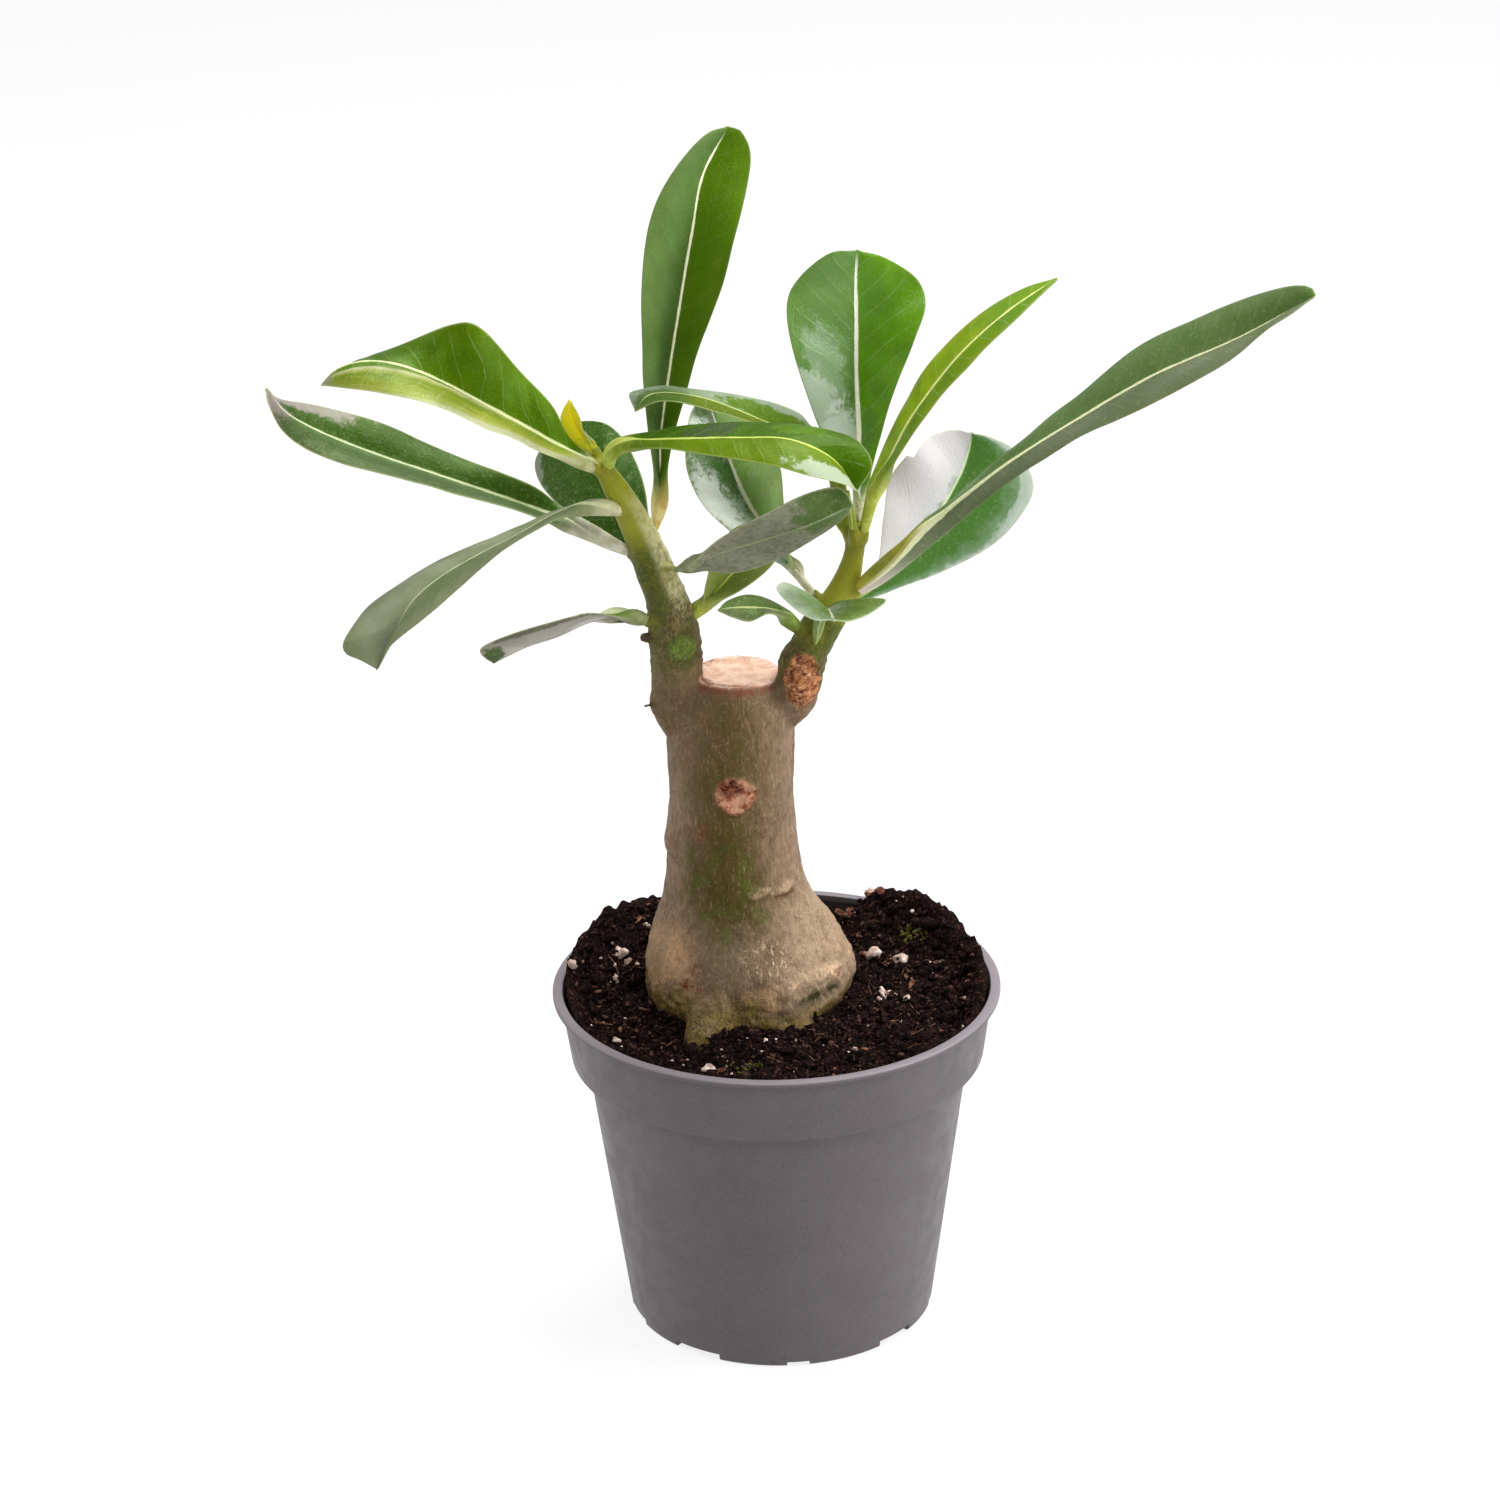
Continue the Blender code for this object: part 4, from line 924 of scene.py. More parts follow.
def trunk_bark():
    f = Finish("trunk_bark", Specular_IOR_Level=0.22)
    streak = f.noise(1.3, 4, stretch=(1, 1, 0.35), roughness=0.6)
    wide = f.noise(8, 3, stretch=(1, 1, 0.6))
    mottle = f.noise(3.0, 4, roughness=0.6)
    fine = f.noise(0.7, 3, stretch=(1, 1, 0.7), roughness=0.65)
    coarse = f.noise(1.6, 4, roughness=0.62)
    fibre = f.noise(0.6, 4, stretch=(1, 1, 0.2), roughness=0.7)
    pores = f.times(f.span(f.cells(2.3), 0.17, 0.07), f.span(f.noise(5, 2), 0.48, 0.6, 0, 0.7))
    cross = f.span(f.noise(2.2, 3, stretch=(0.4, 0.4, 2.4)), 0.62, 0.70, 0, 0.45)
    scratch = f.noise(1.0, 2, stretch=(1, 1, 0.22), distortion=1.2)
    colour = f.layers(
        f.two("66513a", "7f6750", wide, 0.32, 0.68),
        ("", "907860", mottle, 0.42, 0.68, 0, 0.5),
        ("", "9d8469", streak, 0.48, 0.66, 0, 0.35),
        ("pale", "9d866c", mottle, 0.3, 0.62, 0.35, 0.85),
        ("tan", "bd9670", coarse, 0.25, 0.6, 0.3, 0.85),
        ("grey", "665740", wide, 0.3, 0.6, 0.45, 0.8),
        # olive bark, which down the front is also painted shade of the less lit middle
        ("olive", "4f3c0a", streak, 0.35, 0.75, 1.0, 0.75),
        ("olive", "463e0a", f.noise(9, 2), 0.44, 0.62, 0, 0.6),
        ("green", "463a08", mottle, 0.3, 0.7, 0.8, 0.4),
        ("green", "47530c", f.noise(4.5, 3), 0.42, 0.66, 0, 0.7),
        # painted shadow of the leaves on the upper trunk
        ("under_crown", "5a4628", 0.6),
        ("moss", "8a7636", f.noise(4.0, 3), 0.35, 0.6, 0.8, 0.2),
        ("moss", "5f4c12", f.noise(3.2, 4), 0.36, 0.6, 0.25, 0.95),
        ("moss", "2c1e0e", f.noise(0.9, 3, roughness=0.6), 0.50, 0.62, 0, 0.75),
        # painted highlight: the crests of the ridge and the fold painted lighter
        ("ridge", "d3b192", coarse, 0.36, 0.58, 0.1, 0.85),
        ("dark_moss", "3a3a14", f.noise(1.6, 3), 0.36, 0.56, 0.2, 1),
        ("rust", "6e3417", f.noise(1.2, 4, roughness=0.65), 0.44, 0.60),
        # dark pores, small cross cracks, pale scratches, flakes and fibres
        ("", "40301c", pores),
        ("", "57422a", f.times(cross, f.span(mottle, 0.4, 0.6))),
        ("scratched", "dcc39c", scratch, 0.58, 0.66, 0, 0.8),
        ("pale", "bda386", f.noise(1.1, 4, roughness=0.6), 0.54, 0.68, 0, 0.5),
        ("", "473621", fibre, 0.54, 0.68, 0, 0.5),
        ("", "c8ad8a", fibre, 0.44, 0.30, 0, 0.22),
        ("", "4c3a24", fine, 0.56, 0.74, 0, 0.4),
        ("", "c2a98a", fine, 0.42, 0.28, 0, 0.25))
    # side stems: grey-brown at the foot, green higher up
    young = f.attribute("young")
    fresh = f.layers(
        f.two("525806", "3e4803", f.noise(2.4, 3), 0.35, 0.65),
        ("", "86863a", f.noise(0.8, 2), 0.55, 0.72, 0, 0.4),
        ("", "9a9c22", young, 0.75, 1.0, 0, 0.8),
        # cream skin painted paler on the stem's lit right side, a painted highlight
        ("cream", "c9c293", f.noise(1.6, 3), 0.3, 0.6, 0.3, 0.8))
    turned_up = f.math("ADD", young, f.span(fine, 0.3, 0.7, -0.12, 0.12), clamp=True)
    skin_colour = f.layers(
        f.two("4a3e22", "75663f", fine, 0.40, 0.62),
        ("", "444a12", f.noise(4, 3), 0.42, 0.62, 0, 0.65),
        ("", fresh, turned_up, 0.05, 0.7))
    # wounds
    cork = f.two("6a2f1a", "b4794e", f.noise(1.3, 4, roughness=0.65), 0.36, 0.60)
    wood = f.layers(
        f.two("f4d2bf", "e3b69c", f.noise(2.6, 3), 0.35, 0.65),
        ("", "c48a68", f.noise(0.8, 3), 0.58, 0.70, 0, 0.6),
        ("cut_dirt", "9a6248", coarse, 0.42, 0.6, 0.05, 0.85))
    f.colour(f.layers(
        colour,
        ("stem", skin_colour),
        ("green_scar", "64802a", fine, 0.35, 0.6, 0.1, 0.9),
        ("socket", "7c7c24", f.noise(1.2, 3), 0.3, 0.6, 0.1, 0.5),
        ("scar_rim", f.two("7c4029", "b48468", f.noise(1.5, 3), 0.36, 0.60)),
        ("scar_pit", f.two("4a1a0e", "94593a", f.noise(1.1, 3), 0.38, 0.66)),
        ("callus", f.two(cork, "cfa884", f.noise(0.7, 3), 0.56, 0.70)),
        ("crack", "5c3a20", 0.85),
        ("cut_rim", "743d2a", mottle, 0.38, 0.52, 0.35, 1),
        ("cut_face", wood),
        ("cut_crack", "5f2f1c"),
        ("stub", "4a3c30"),
        ("soil_line", "1f130c", f.noise(1.4, 3), 0.3, 0.55, 0.3, 1)))
    f.roughness(f.math("ADD", f.span(fine, 0.3, 0.7, 0.52, 0.72), f.times(young, -0.22)))
    height = f.times_plus(streak, 0.35, f.times_plus(mottle, 0.6, f.times(fine, 0.8)))
    f.bump(f.times_plus(fibre, 0.5, f.times_plus(coarse, 0.5, height)), 0.42)
    return f.material


# ---- leaves -----------------------------------------------------------------------------------
# Each leaf is lofted between its midrib, which starts inside the stem, and its two margins.
# "left" and "right" are seen from above, from the stem to the tip.
LEAVES = {
    "left_folded_leaf": dict(slot="mid_green_leaf",
        rib=((-36.5, 0, 209.5), (-46, -4.3, 217.6), (-59, -8, 227), (-69.5, -11, 234.5), (-80, -13, 240),
        (-87.5, -14, 241.5), (-93.5, -16, 240.5), (-97, -17, 237.5)),
        left=((-46, -7, 215.5), (-58.5, -17.5, 225.5), (-71, -24, 234), (-84, -23.5, 237.5),
        (-92.5, -21, 238)),
        right=((-44, 0, 218), (-47.5, -2.5, 227), (-54.5, -2, 235), (-62.5, -6.5, 246.5), (-69, -5.5, 247),
        (-81, -3.5, 241.5), (-90.5, -9, 239.5))),
    "left_long_leaf": dict(slot="deep_green_leaf",
        rib=((-27.5, 3.5, 187.5), (-40.5, 3, 194.5), (-50.5, 3, 199.5), (-64.5, 3, 205), (-82.5, 1, 212.5),
        (-95.5, 0, 218.5), (-106, -3, 225.5), (-110.5, -6, 233)),
        left=((-38, 3, 190), (-51.5, -1.5, 200), (-64.5, -4, 205.5), (-81.5, -8, 212), (-97, -9, 217.5),
        (-106.5, -10, 224), (-110, -9.5, 230.5)),
        right=((-38, 3, 196.5), (-47, 5.5, 200.5), (-53.5, 5.5, 205.5), (-69.5, 8.5, 211.5),
        (-88, 8, 220.5), (-100, 5.5, 225), (-108, 0.5, 228.5))),
    "left_drooping_leaf": dict(slot="grey_green_leaf",
        rib=((-30, 1, 199.5), (-37.5, -3, 203), (-44.5, -6, 203.5), (-57.5, -13, 199), (-70.5, -19, 194),
        (-78.5, -24, 189), (-83, -28, 182.5), (-87, -31, 176)),
        left=((-40, -5, 201.5), (-48.5, -13.5, 203), (-59.5, -22.5, 199.5), (-68, -28.5, 193.5),
        (-76.5, -36.5, 189), (-83, -38, 184)),
        right=((-37.5, -1, 203.5), (-45.5, -3, 203), (-60, -6.5, 198), (-76, -10, 192), (-88, -17.5, 186.5),
        (-93.5, -30, 183.5), (-94, -31, 180), (-90.5, -31, 178))),
    "left_low_leaf": dict(slot="grey_green_leaf",
        rib=((-23, 4.5, 171), (-34, 0, 175.5), (-40.5, -3, 175.5), (-47.5, -6, 173.5), (-54.5, -8, 172),
        (-59, -9.5, 170.3), (-62.5, -9.5, 168.5)),
        left=((-38.5, 0, 174.5), (-48, 2, 171), (-56, 0, 170.5), (-60.5, -4, 169.3)),
        right=((-38.5, -5, 178), (-45, -9, 179), (-56, -12.5, 177.5), (-63.5, -10.5, 173.5),
        (-65.5, -11, 172), (-64.5, -10.5, 170))),
    "tall_upright_leaf": dict(slot="deep_green_leaf",
        rib=((-27.5, 4, 190), (-24.5, 9, 200), (-24, 10, 214), (-21.5, 11, 230), (-18.5, 13, 247),
        (-16, 15, 260.5), (-13.5, 18, 273), (-7.5, 20, 283.5)),
        left=((-25.5, 7.5, 199.5), (-26.5, 6.5, 215), (-27.5, 5.5, 232), (-27.5, 6, 246), (-26.5, 7, 259),
        (-24, 7.5, 269), (-19, 9, 277.5), (-12.5, 13, 283.5)),
        right=((-24, 7, 199.5), (-21, 6.5, 215), (-15.5, 4.5, 234.5), (-11, 5, 246.5), (-7, 7, 259.5),
        (-3.5, 15.5, 270.5), (-2.5, 19.5, 277.5), (-4.5, 20, 282.5))),
    "left_back_leaf": dict(slot="deep_green_leaf",
        rib=((-26.5, 5, 186), (-30.5, 16, 193), (-36.5, 26, 197.5), (-42, 37, 201), (-48.5, 46, 204)),
        left=((-32, 10, 187.5), (-40, 19, 189), (-48, 29, 191.5), (-53, 40.5, 193), (-54.5, 45.5, 196.5),
        (-52.5, 46, 200.5)),
        right=((-27, 12, 195), (-29, 28.5, 199), (-32.5, 40, 202.5), (-37.5, 46.5, 205.5),
        (-43.5, 49, 205.5))),
    "centre_arching_leaf": dict(slot="mid_green_leaf",
        rib=((-35.5, 0, 209), (-35, -4, 216), (-30.5, -8, 219.5), (-19, -14, 222), (-6, -18, 223.5),
        (5, -21, 224), (14, -22, 220), (19.5, -22, 212.5)),
        left=((-35.5, -2.5, 216.5), (-28, -6.5, 221), (-19, -8.5, 223.5), (-6, -9.5, 224.5),
        (7.5, -11.5, 224.5), (18.5, -15, 222.5), (23, -20.5, 218.5), (21.5, -22, 215)),
        right=((-33, -6.5, 216), (-23.5, -16.5, 221), (-14.5, -22, 221.5), (-1.5, -27.5, 221),
        (9, -29.5, 218.5), (17, -27, 215.5))),
    "centre_front_leaf": dict(slot="grey_green_leaf",
        rib=((-25, 3.5, 184), (-17.5, -4, 189), (-11, -8, 193.5), (-2, -12, 197.5), (7, -16, 202),
        (14, -19, 206), (18.5, -20, 208.5)),
        left=((-17.5, -6, 190.5), (-9.5, -14.5, 200), (-2, -19.5, 206), (7, -21.5, 211),
        (14.5, -19.5, 212.5), (17.5, -20, 211)),
        right=((-16.5, -2, 187), (-7.5, -6, 187.5), (2.5, -7, 191), (11.5, -11, 198), (17, -15.5, 204))),
    "centre_lower_leaf": dict(slot="deep_green_leaf",
        rib=((-21, 5.5, 169.5), (-12.5, 7, 178), (-7, 6.5, 184.5), (-2.5, 6, 189), (0, 5.5, 191.5)),
        left=((-16, 5, 175.5), (-14.5, 4, 181.5), (-12.5, 3.5, 188.5), (-9, 4, 193.5), (-4.5, 4.5, 195.5)),
        right=((-13, 5, 175.5), (-6.5, 4, 179.5), (-1.2, 4, 183.5), (1.7, 4.5, 186.8), (2.4, 5, 189.5))),
    "left_young_leaf": dict(slot="young_green_leaf",
        rib=((-36.6, 1.6, 210), (-39.5, 2.2, 216), (-42.5, 2.4, 221), (-44, 3, 226)),
        left=((-39.5, 2.2, 213), (-44, 2.2, 217), (-46, 2.2, 221.5), (-45.5, 2.6, 224)),
        right=((-37.5, 1.8, 214), (-40.5, 0.2, 219), (-41.5, 0.2, 223), (-43, 1.5, 225.5))),
    "centre_upper_leaf": dict(slot="mid_green_leaf",
        rib=((18.9, 4.8, 190), (16.4, 4, 198.5), (15.5, 1, 208.5), (10.5, -0.5, 215.5), (-2, 0, 221.5),
        (-12, 0, 226), (-20.5, -1, 228.5), (-26, -2, 228.5), (-29, -3, 225.5)),
        left=((13.5, -2, 211), (5, -4, 218), (-6, -5, 223.5), (-17, -7, 228), (-23.5, -6, 228.5)),
        right=((16, 1.5, 212.5), (10, 2.5, 219), (6.5, 3, 222.5), (-3.5, 5, 225.5), (-13.5, 4.5, 227.5),
        (-22.5, 2, 229.5), (-28.5, 0.5, 229), (-30.5, -1, 228.5))),
    "centre_back_leaf": dict(slot="deep_green_leaf",
        rib=((13, 5, 173.5), (6, 8.2, 182.8), (1.5, 11.5, 189), (-3, 17, 193.5), (-6, 20, 198.5),
        (-9, 23, 206), (-11.5, 27, 212.5), (-13, 29, 216.5)),
        left=((4.4, 7.6, 182.8), (-1, 7, 186.5), (-10, 9.5, 193), (-15.5, 13, 198), (-18.5, 16.5, 204.5),
        (-18.5, 21, 210), (-17.5, 28.5, 213.5), (-15.5, 29, 216.5)),
        right=((7.6, 7.6, 181.9), (4, 6, 189.5), (3.5, 9, 199.5), (3, 12, 205.5), (0.5, 15.5, 212),
        (-4, 21, 216), (-9.5, 24.5, 218))),
    "centre_small_leaf": dict(slot="deep_green_leaf",
        rib=((9.5, 3.5, 167), (4.5, 1, 173), (1, -2, 176.5), (-5.5, -6, 179), (-11.5, -8, 179.5)),
        left=((4.5, -0.5, 173), (0, -7, 178), (-4.5, -9, 177), (-8.5, -10, 178.5)),
        right=((3.5, 2.5, 175), (0, 1.5, 178), (-5, -1.5, 180.5), (-9.5, -4.5, 180.5))),
    "right_near_leaf": dict(slot="mid_green_leaf",
        rib=((9.8, 2, 166.5), (10.5, -3, 173), (12, -7, 177.5), (13, -15, 181.5), (14, -30, 185)),
        left=((13.7, -8.2, 179.6), (18, -12, 183), (23.5, -17, 185), (26, -20, 185.5), (23, -25, 185),
        (17.5, -29, 184.5)),
        right=((10.5, -8.4, 179.8), (7, -12, 185), (3.5, -16, 189), (1.5, -19, 188.5), (4, -24, 187),
        (9.5, -29, 185))),
    "right_upright_leaf": dict(slot="mid_green_leaf",
        rib=((20.2, 5, 190), (21, 8, 201.5), (21, 10, 213), (20.5, 12, 226.5), (20.5, 14, 240),
        (20.5, 15, 250), (21, 15, 256)),
        left=((19.3, 7, 203), (13, 6, 214.5), (9, 5, 226), (6, 6, 236.5), (5, 9.5, 245), (7.5, 11.5, 250.5),
        (14.5, 13, 256)),
        right=((22.8, 7, 203), (26, 5, 217.5), (29.5, 4.5, 229), (33.5, 5, 238.5), (36, 10.5, 244.5),
        (34, 13, 250), (27, 14, 254.5))),
    "right_narrow_leaf": dict(slot="young_green_leaf",
        rib=((20.8, 3.6, 190), (21.6, 1, 195.5), (23.2, -2, 203), (27, -4, 212), (32, -6, 223),
        (38, -7, 232), (45, -8, 240.5), (53, -9, 248), (64, -9, 256)),
        left=((22, -0.8, 202.5), (25.5, 0, 214), (31, 0.5, 225.5), (37.5, -1, 236), (46.5, -2.5, 245.5),
        (56, -4.5, 252)),
        right=((24.3, -3, 202.5), (27.5, -7.5, 212), (33, -12, 223), (39, -13.5, 232), (47, -14, 240.5),
        (56, -13, 249))),
    "right_long_leaf": dict(slot="grey_green_leaf",
        rib=((17.5, 3, 178), (26, -1, 186), (38.5, -4, 199.5), (51.5, -8, 211.5), (69, -12, 224.5),
        (86, -16, 236), (103, -20, 245), (119, -22, 255)),
        left=((26, -1.5, 189.5), (38.5, -0.5, 200), (52, -2, 212.5), (67.5, -3.5, 226), (82.5, -7.5, 240),
        (99.5, -13, 250), (111.5, -18.5, 256), (117.5, -21, 257.1)),
        right=((26, -0.5, 182.5), (38.5, -3.5, 194), (51.5, -12.5, 208.5), (66.5, -19.5, 221.5),
        (83.5, -25, 232), (98, -28.5, 241.6), (110.5, -27.5, 250.9))),
    "right_back_leaf": dict(slot="deep_green_leaf",
        rib=((16, 4.5, 174), (30, 9, 186), (38, 12, 194), (43, 14, 201.5), (45.5, 15, 207.5),
        (46.5, 15, 212.5)),
        left=((24, 5.5, 182.5), (26, 5, 196), (27.5, 7, 204.5), (32.5, 6.5, 211.5), (36.5, 12, 213),
        (42, 15, 213.5)),
        right=((28.5, 8, 177.5), (40, 11.5, 180.5), (51.5, 12.5, 186.5), (58.5, 14, 194), (60.5, 15, 200.5),
        (56.5, 15, 208), (50.5, 15, 211.5))),
    "right_young_leaf": dict(slot="young_green_leaf",
        rib=((19.6, 2.6, 190.5), (18.9, -1.1, 198.5), (18, -1.5, 205)),
        left=((18.1, -0.9, 199.5), (17.2, -1.2, 202.5)),
        right=((19.7, -1.2, 198.5), (18.8, -1.4, 202.5))),
}

LEAF_ROWS = 76
# places across half a leaf, from the midrib to the margin
ACROSS_HALF = (0, 0.02, 0.045, 0.08, 0.13, 0.2, 0.29, 0.4, 0.52, 0.64, 0.76, 0.86, 0.93, 0.97, 0.992, 1)
STALK_HALF_WIDTH = 1.2
TIP_HALF_WIDTH = 0.35
THICKNESS = 0.56
VEIN_SPACING = 5.6
VEIN_SLANT = 0.5
VEIN_COLOUR = "b4c48a"
RIM_MM = 0.55
STREAKS = 0.12
UNDER_ROUGHNESS = 0.5


def leaf_guides(spec):
    """The two margins and the midrib, as rows of evenly spaced points."""
    left, rib, right = (np.array(spec[key], float) for key in ("left", "rib", "right"))
    heading = unit(rib[1] - rib[0])
    stalk = left[0] - right[0]
    stalk = unit(stalk - stalk.dot(heading) * heading) * STALK_HALF_WIDTH
    tip = unit(left[-1] - right[-1]) * TIP_HALF_WIDTH
    left = np.vstack((rib[0] + stalk, left, rib[-1] + tip))
    right = np.vstack((rib[0] - stalk, right, rib[-1] - tip))
    return [smooth_points(guide, LEAF_ROWS) for guide in (left, rib, right)]


def averaged(rows, rounds=3):
    for _ in range(rounds):
        rows[1:-1] = (rows[:-2] + 2 * rows[1:-1] + rows[2:]) / 4
    return rows


def make_leaf(name, spec, seed):
    left, rib, right = leaf_guides(spec)
    look = {**PLAIN_LOOK, **LOOKS[name]}
    heading = unit(averaged(np.gradient(rib, axis=0)))
    along = distance_along(rib)
    share = along / along[-1]
    up_left = unit(averaged(unit(np.cross(heading, left - rib))))
    up_right = unit(averaged(unit(np.cross(right - rib, heading))))
    slim, slim_mm = look["slim"]
    half = [-v for v in ACROSS_HALF[:0:-1]] + list(ACROSS_HALF)
    points, notes, shares = [], [], []
    for v, side in [(v, 1) for v in half] + [(v, -1) for v in half[-2:0:-1]]:
        margin = left if v > 0 else right
        if "nick" in look and v > 0:
            start, depth = look["nick"]
            fade = np.exp(-np.maximum(share - start, 0) / 0.09)
            pulled = depth * smoothstep(start - 0.012, start, share) * fade
            margin = margin + unit(rib - margin) * pulled[:, None]
        width = slim + (1 - slim) * smoothstep(0.15 * slim_mm, slim_mm, along)
        margin = rib + (margin - rib) * width[:, None]
        reach = length_of(margin - rib)
        out = abs(v) * reach
        blend = smoothstep(-0.18, 0.18, v)
        normal = unit(blend * up_left + (1 - blend) * up_right)
        stalk = (1 - smoothstep(1.5, 4.2, reach)) * smoothstep(0.5, 0.3, share)
        blade = 1 - stalk
        lines = np.column_stack((along, np.full_like(along, 40 * (v > 0)), out))
        phase = (along - VEIN_SLANT * out) / VEIN_SPACING + 0.22 * noise(lines, 7, seed) + 0.5 * (v > 0)
        middle = rib + (margin - rib) * abs(v)
        lift = look["bulge"] * reach * np.sin(pi * abs(v)) * blade
        waves = noise(lines, (9, 50, 60), seed + 1)
        lift += look["wave"] * blade * np.minimum(reach / 8, 1) * v * v * waves
        pucker = abs(v) * (1 - abs(v)) * 4 * np.minimum(reach / 10, 1)
        lift += look["pucker"] * pucker * blade * np.cos(phase * tau)
        lift += 0.22 * blade * noise(middle, 11, seed + 2)
        groove = ridge_at(out, 0.75) * blade * smoothstep(1.0, 0.85, share)
        thick = THICKNESS * (1 - 0.45 * v ** 2) * (1 - abs(v) ** 14) ** 0.5
        round_stalk = stalk * reach * (1 - v * v) ** 0.5
        if side > 0:
            offset = blade * (thick / 2 + 0.14 * groove) + 0.9 * round_stalk
        else:
            offset = -blade * (thick / 2 + 0.65 * groove * (1 - 0.6 * share)) - 1.1 * round_stalk
        points.append(middle + normal * (lift + offset)[:, None])
        top = 0.5 if abs(v) == 1 else float(side > 0)
        notes.append(np.column_stack((phase, np.sign(v) * out, np.full_like(along, top))))
        shares.append(np.column_stack((share, np.full_like(along, v), reach)))
    points = np.stack(points, axis=1)
    rows, around = points.shape[:2]
    first, last = points[0].mean(axis=0), points[-1].mean(axis=0) + heading[-1] * 0.5
    cloud = np.vstack((first, points.reshape(-1, 3), last))
    finish = leaf_finish(name, look, seed)
    obj = new_mesh(name.replace("_leaf", "_blade"), cloud, skin(rows, around), finish)
    body = bmesh.new()
    body.from_mesh(obj.data)
    bmesh.ops.recalc_face_normals(body, faces=body.faces)
    body.to_mesh(obj.data)
    body.free()
    for title, values in (("leaf", notes), ("leaf_share", shares)):
        values = np.stack(values, axis=1).reshape(-1, 3)
        store(obj.data, title, np.vstack((values[:1] * (1, 0, 1), values, values[-1:] * (1, 0, 1))))
    settle(obj, spec["slot"], name)


def spotted(f, colour, spots, u, v, *shakes, low=0.95, high=0.62):
    """The colour with ragged spots. shakes: a noise and its share."""
    for u0, v0, reach_u, reach_v, code, strength in spots:
        du = f.math("DIVIDE", f.math("SUBTRACT", u, u0), reach_u)
        dv = f.math("DIVIDE", f.math("SUBTRACT", v, v0), reach_v)
        gap = f.math("SQRT", f.math("ADD", f.times(du, du), f.times(dv, dv)))
        for cloud, share in shakes:
            gap = f.shaken(gap, cloud, share)
        colour = f.two(colour, code, gap, low, high, 0, strength)
    return colour


def leaf_finish(name, look, seed):
    f = Finish(name + "_finish", Specular_IOR_Level=look["shine"], Specular_Tint=rgb(look["glare"]))
    phase, out, top = f.split(f.attribute("leaf", "Vector"))
    shares = f.attribute("leaf_share", "Vector")
    u, v, reach = f.split(shares)
    place = f.add("VectorMath", f.mm(), (seed * 13.7, seed * 7.1, 0), operation="ADD")
    fine, blot, wide = f.noise(0.8, 3, place), f.noise(3.0, 3, place), f.noise(9, 2, place)
    far, near_mm = f.math("ABSOLUTE", v), f.math("ABSOLUTE", out)
    wander = f.shaken(far, blot, look["wander"])
    slanted = f.times_plus(f.math("SUBTRACT", 0.75, u), look["skew"], wander)
    colour = f.two(f.ramp(wander, look["right"]), f.ramp(slanted, look["left"]), v, -0.01, 0.01)
    streak = f.noise(1, 2, f.stretched(shares, (5, 26, 0)))
    streak = f.span(streak, 0.5, 0.7, 0, look.get("left_streaks", STREAKS))
    if "left_streaks" in look:
        streak = f.times(streak, f.span(v, 0.0, 0.1))
    colour = f.layers(
        colour, ("", look["shade"], wide, 0.35, 0.7, 0, look["shade_share"]), ("", look["streak"], streak))
    if "mottle" in look:
        code, strength = look["mottle"]
        broken = f.span(f.noise(1.5, 5, place, roughness=0.72), 0.47, 0.58, 0, strength)
        if not look.get("all_mottled"):
            broken = f.times(broken, f.span(v, -0.05, 0.05))
        colour = f.mix(broken, colour, code)
    colour = spotted(f, colour, look["spots"], u, v, (blot, 1.2), (fine, 0.5))
    vein = f.span(f.math("PINGPONG", phase, 0.5), 0.055, 0.0)
    vein = f.times(vein, f.span(far, 0.98, 0.75), f.span(blot, 0.35, 0.6, 0.4, 1.0))
    net = f.span(f.cells(1.5, "DISTANCE_TO_EDGE", place), 0.0, 0.09, 1, 0)
    rib_code, base_mm, tip_mm = look["rib"]
    rib_mm = f.shaken(f.span(u, 0.0, 1.0, base_mm, tip_mm), blot, 0.5)
    on_rib = f.span(f.math("DIVIDE", near_mm, rib_mm), 1.25, 0.7)
    stalk = f.times(f.span(reach, 3.6, 1.6), f.span(u, 0.45, 0.3))
    stalk_colour = f.two(look["stalk"], look["stalk_shade"], blot, 0.38, 0.62)
    if "stalk_right" in look:
        stalk_colour = f.two(stalk_colour, look["stalk_right"], v, 0.1, -0.1)
    colour = f.layers(
        colour,
        ("", VEIN_COLOUR, f.times(vein, look["veins"])),
        ("", VEIN_COLOUR, f.times(net, look["net"])),
        ("", look["speck"], fine, 0.56, 0.74, 0, look["speckle"]),
        ("", look["rim"], f.math("SUBTRACT", reach, near_mm), RIM_MM, 0.1, 0, look["rim_share"]),
        ("", f.two(rib_code, look["rib_shade"], fine, 0.4, 0.7, 0, 0.35),
         f.times(on_rib, f.span(u, 1.0, 0.93))),
        ("", stalk_colour, stalk))
    under = f.two(look["under"], look["under_shade"], blot, 0.35, 0.65)
    under = f.mix(f.times(vein, 0.4), under, "aab488")
    under = spotted(f, under, look["under_spots"], u, v, (blot, 0.9), low=1.05, high=0.55)
    under = f.layers(under, ("", look["under_rib"], on_rib), ("", stalk_colour, stalk))
    if "under_mottle" in look:
        code, strength = look["under_mottle"]
        under = f.two(under, code, f.noise(1.8, 5, place, roughness=0.72), 0.50, 0.62, 0, strength)
    f.colour(f.two(under, colour, top, 0.42, 0.58))
    rough = look["roughness"]
    rough = f.span(f.math("ADD", blot, f.times(fine, 0.5)), 0.5, 0.95, rough - 0.05, rough + 0.09)
    f.roughness(f.span(top, 0.42, 0.58, UNDER_ROUGHNESS, rough))
    height = f.math("ADD", f.times(fine, 0.5), f.times(net, -0.35))
    f.bump(f.math("ADD", height, f.times(vein, -0.5)), 0.12, 0.6)
    return f.material


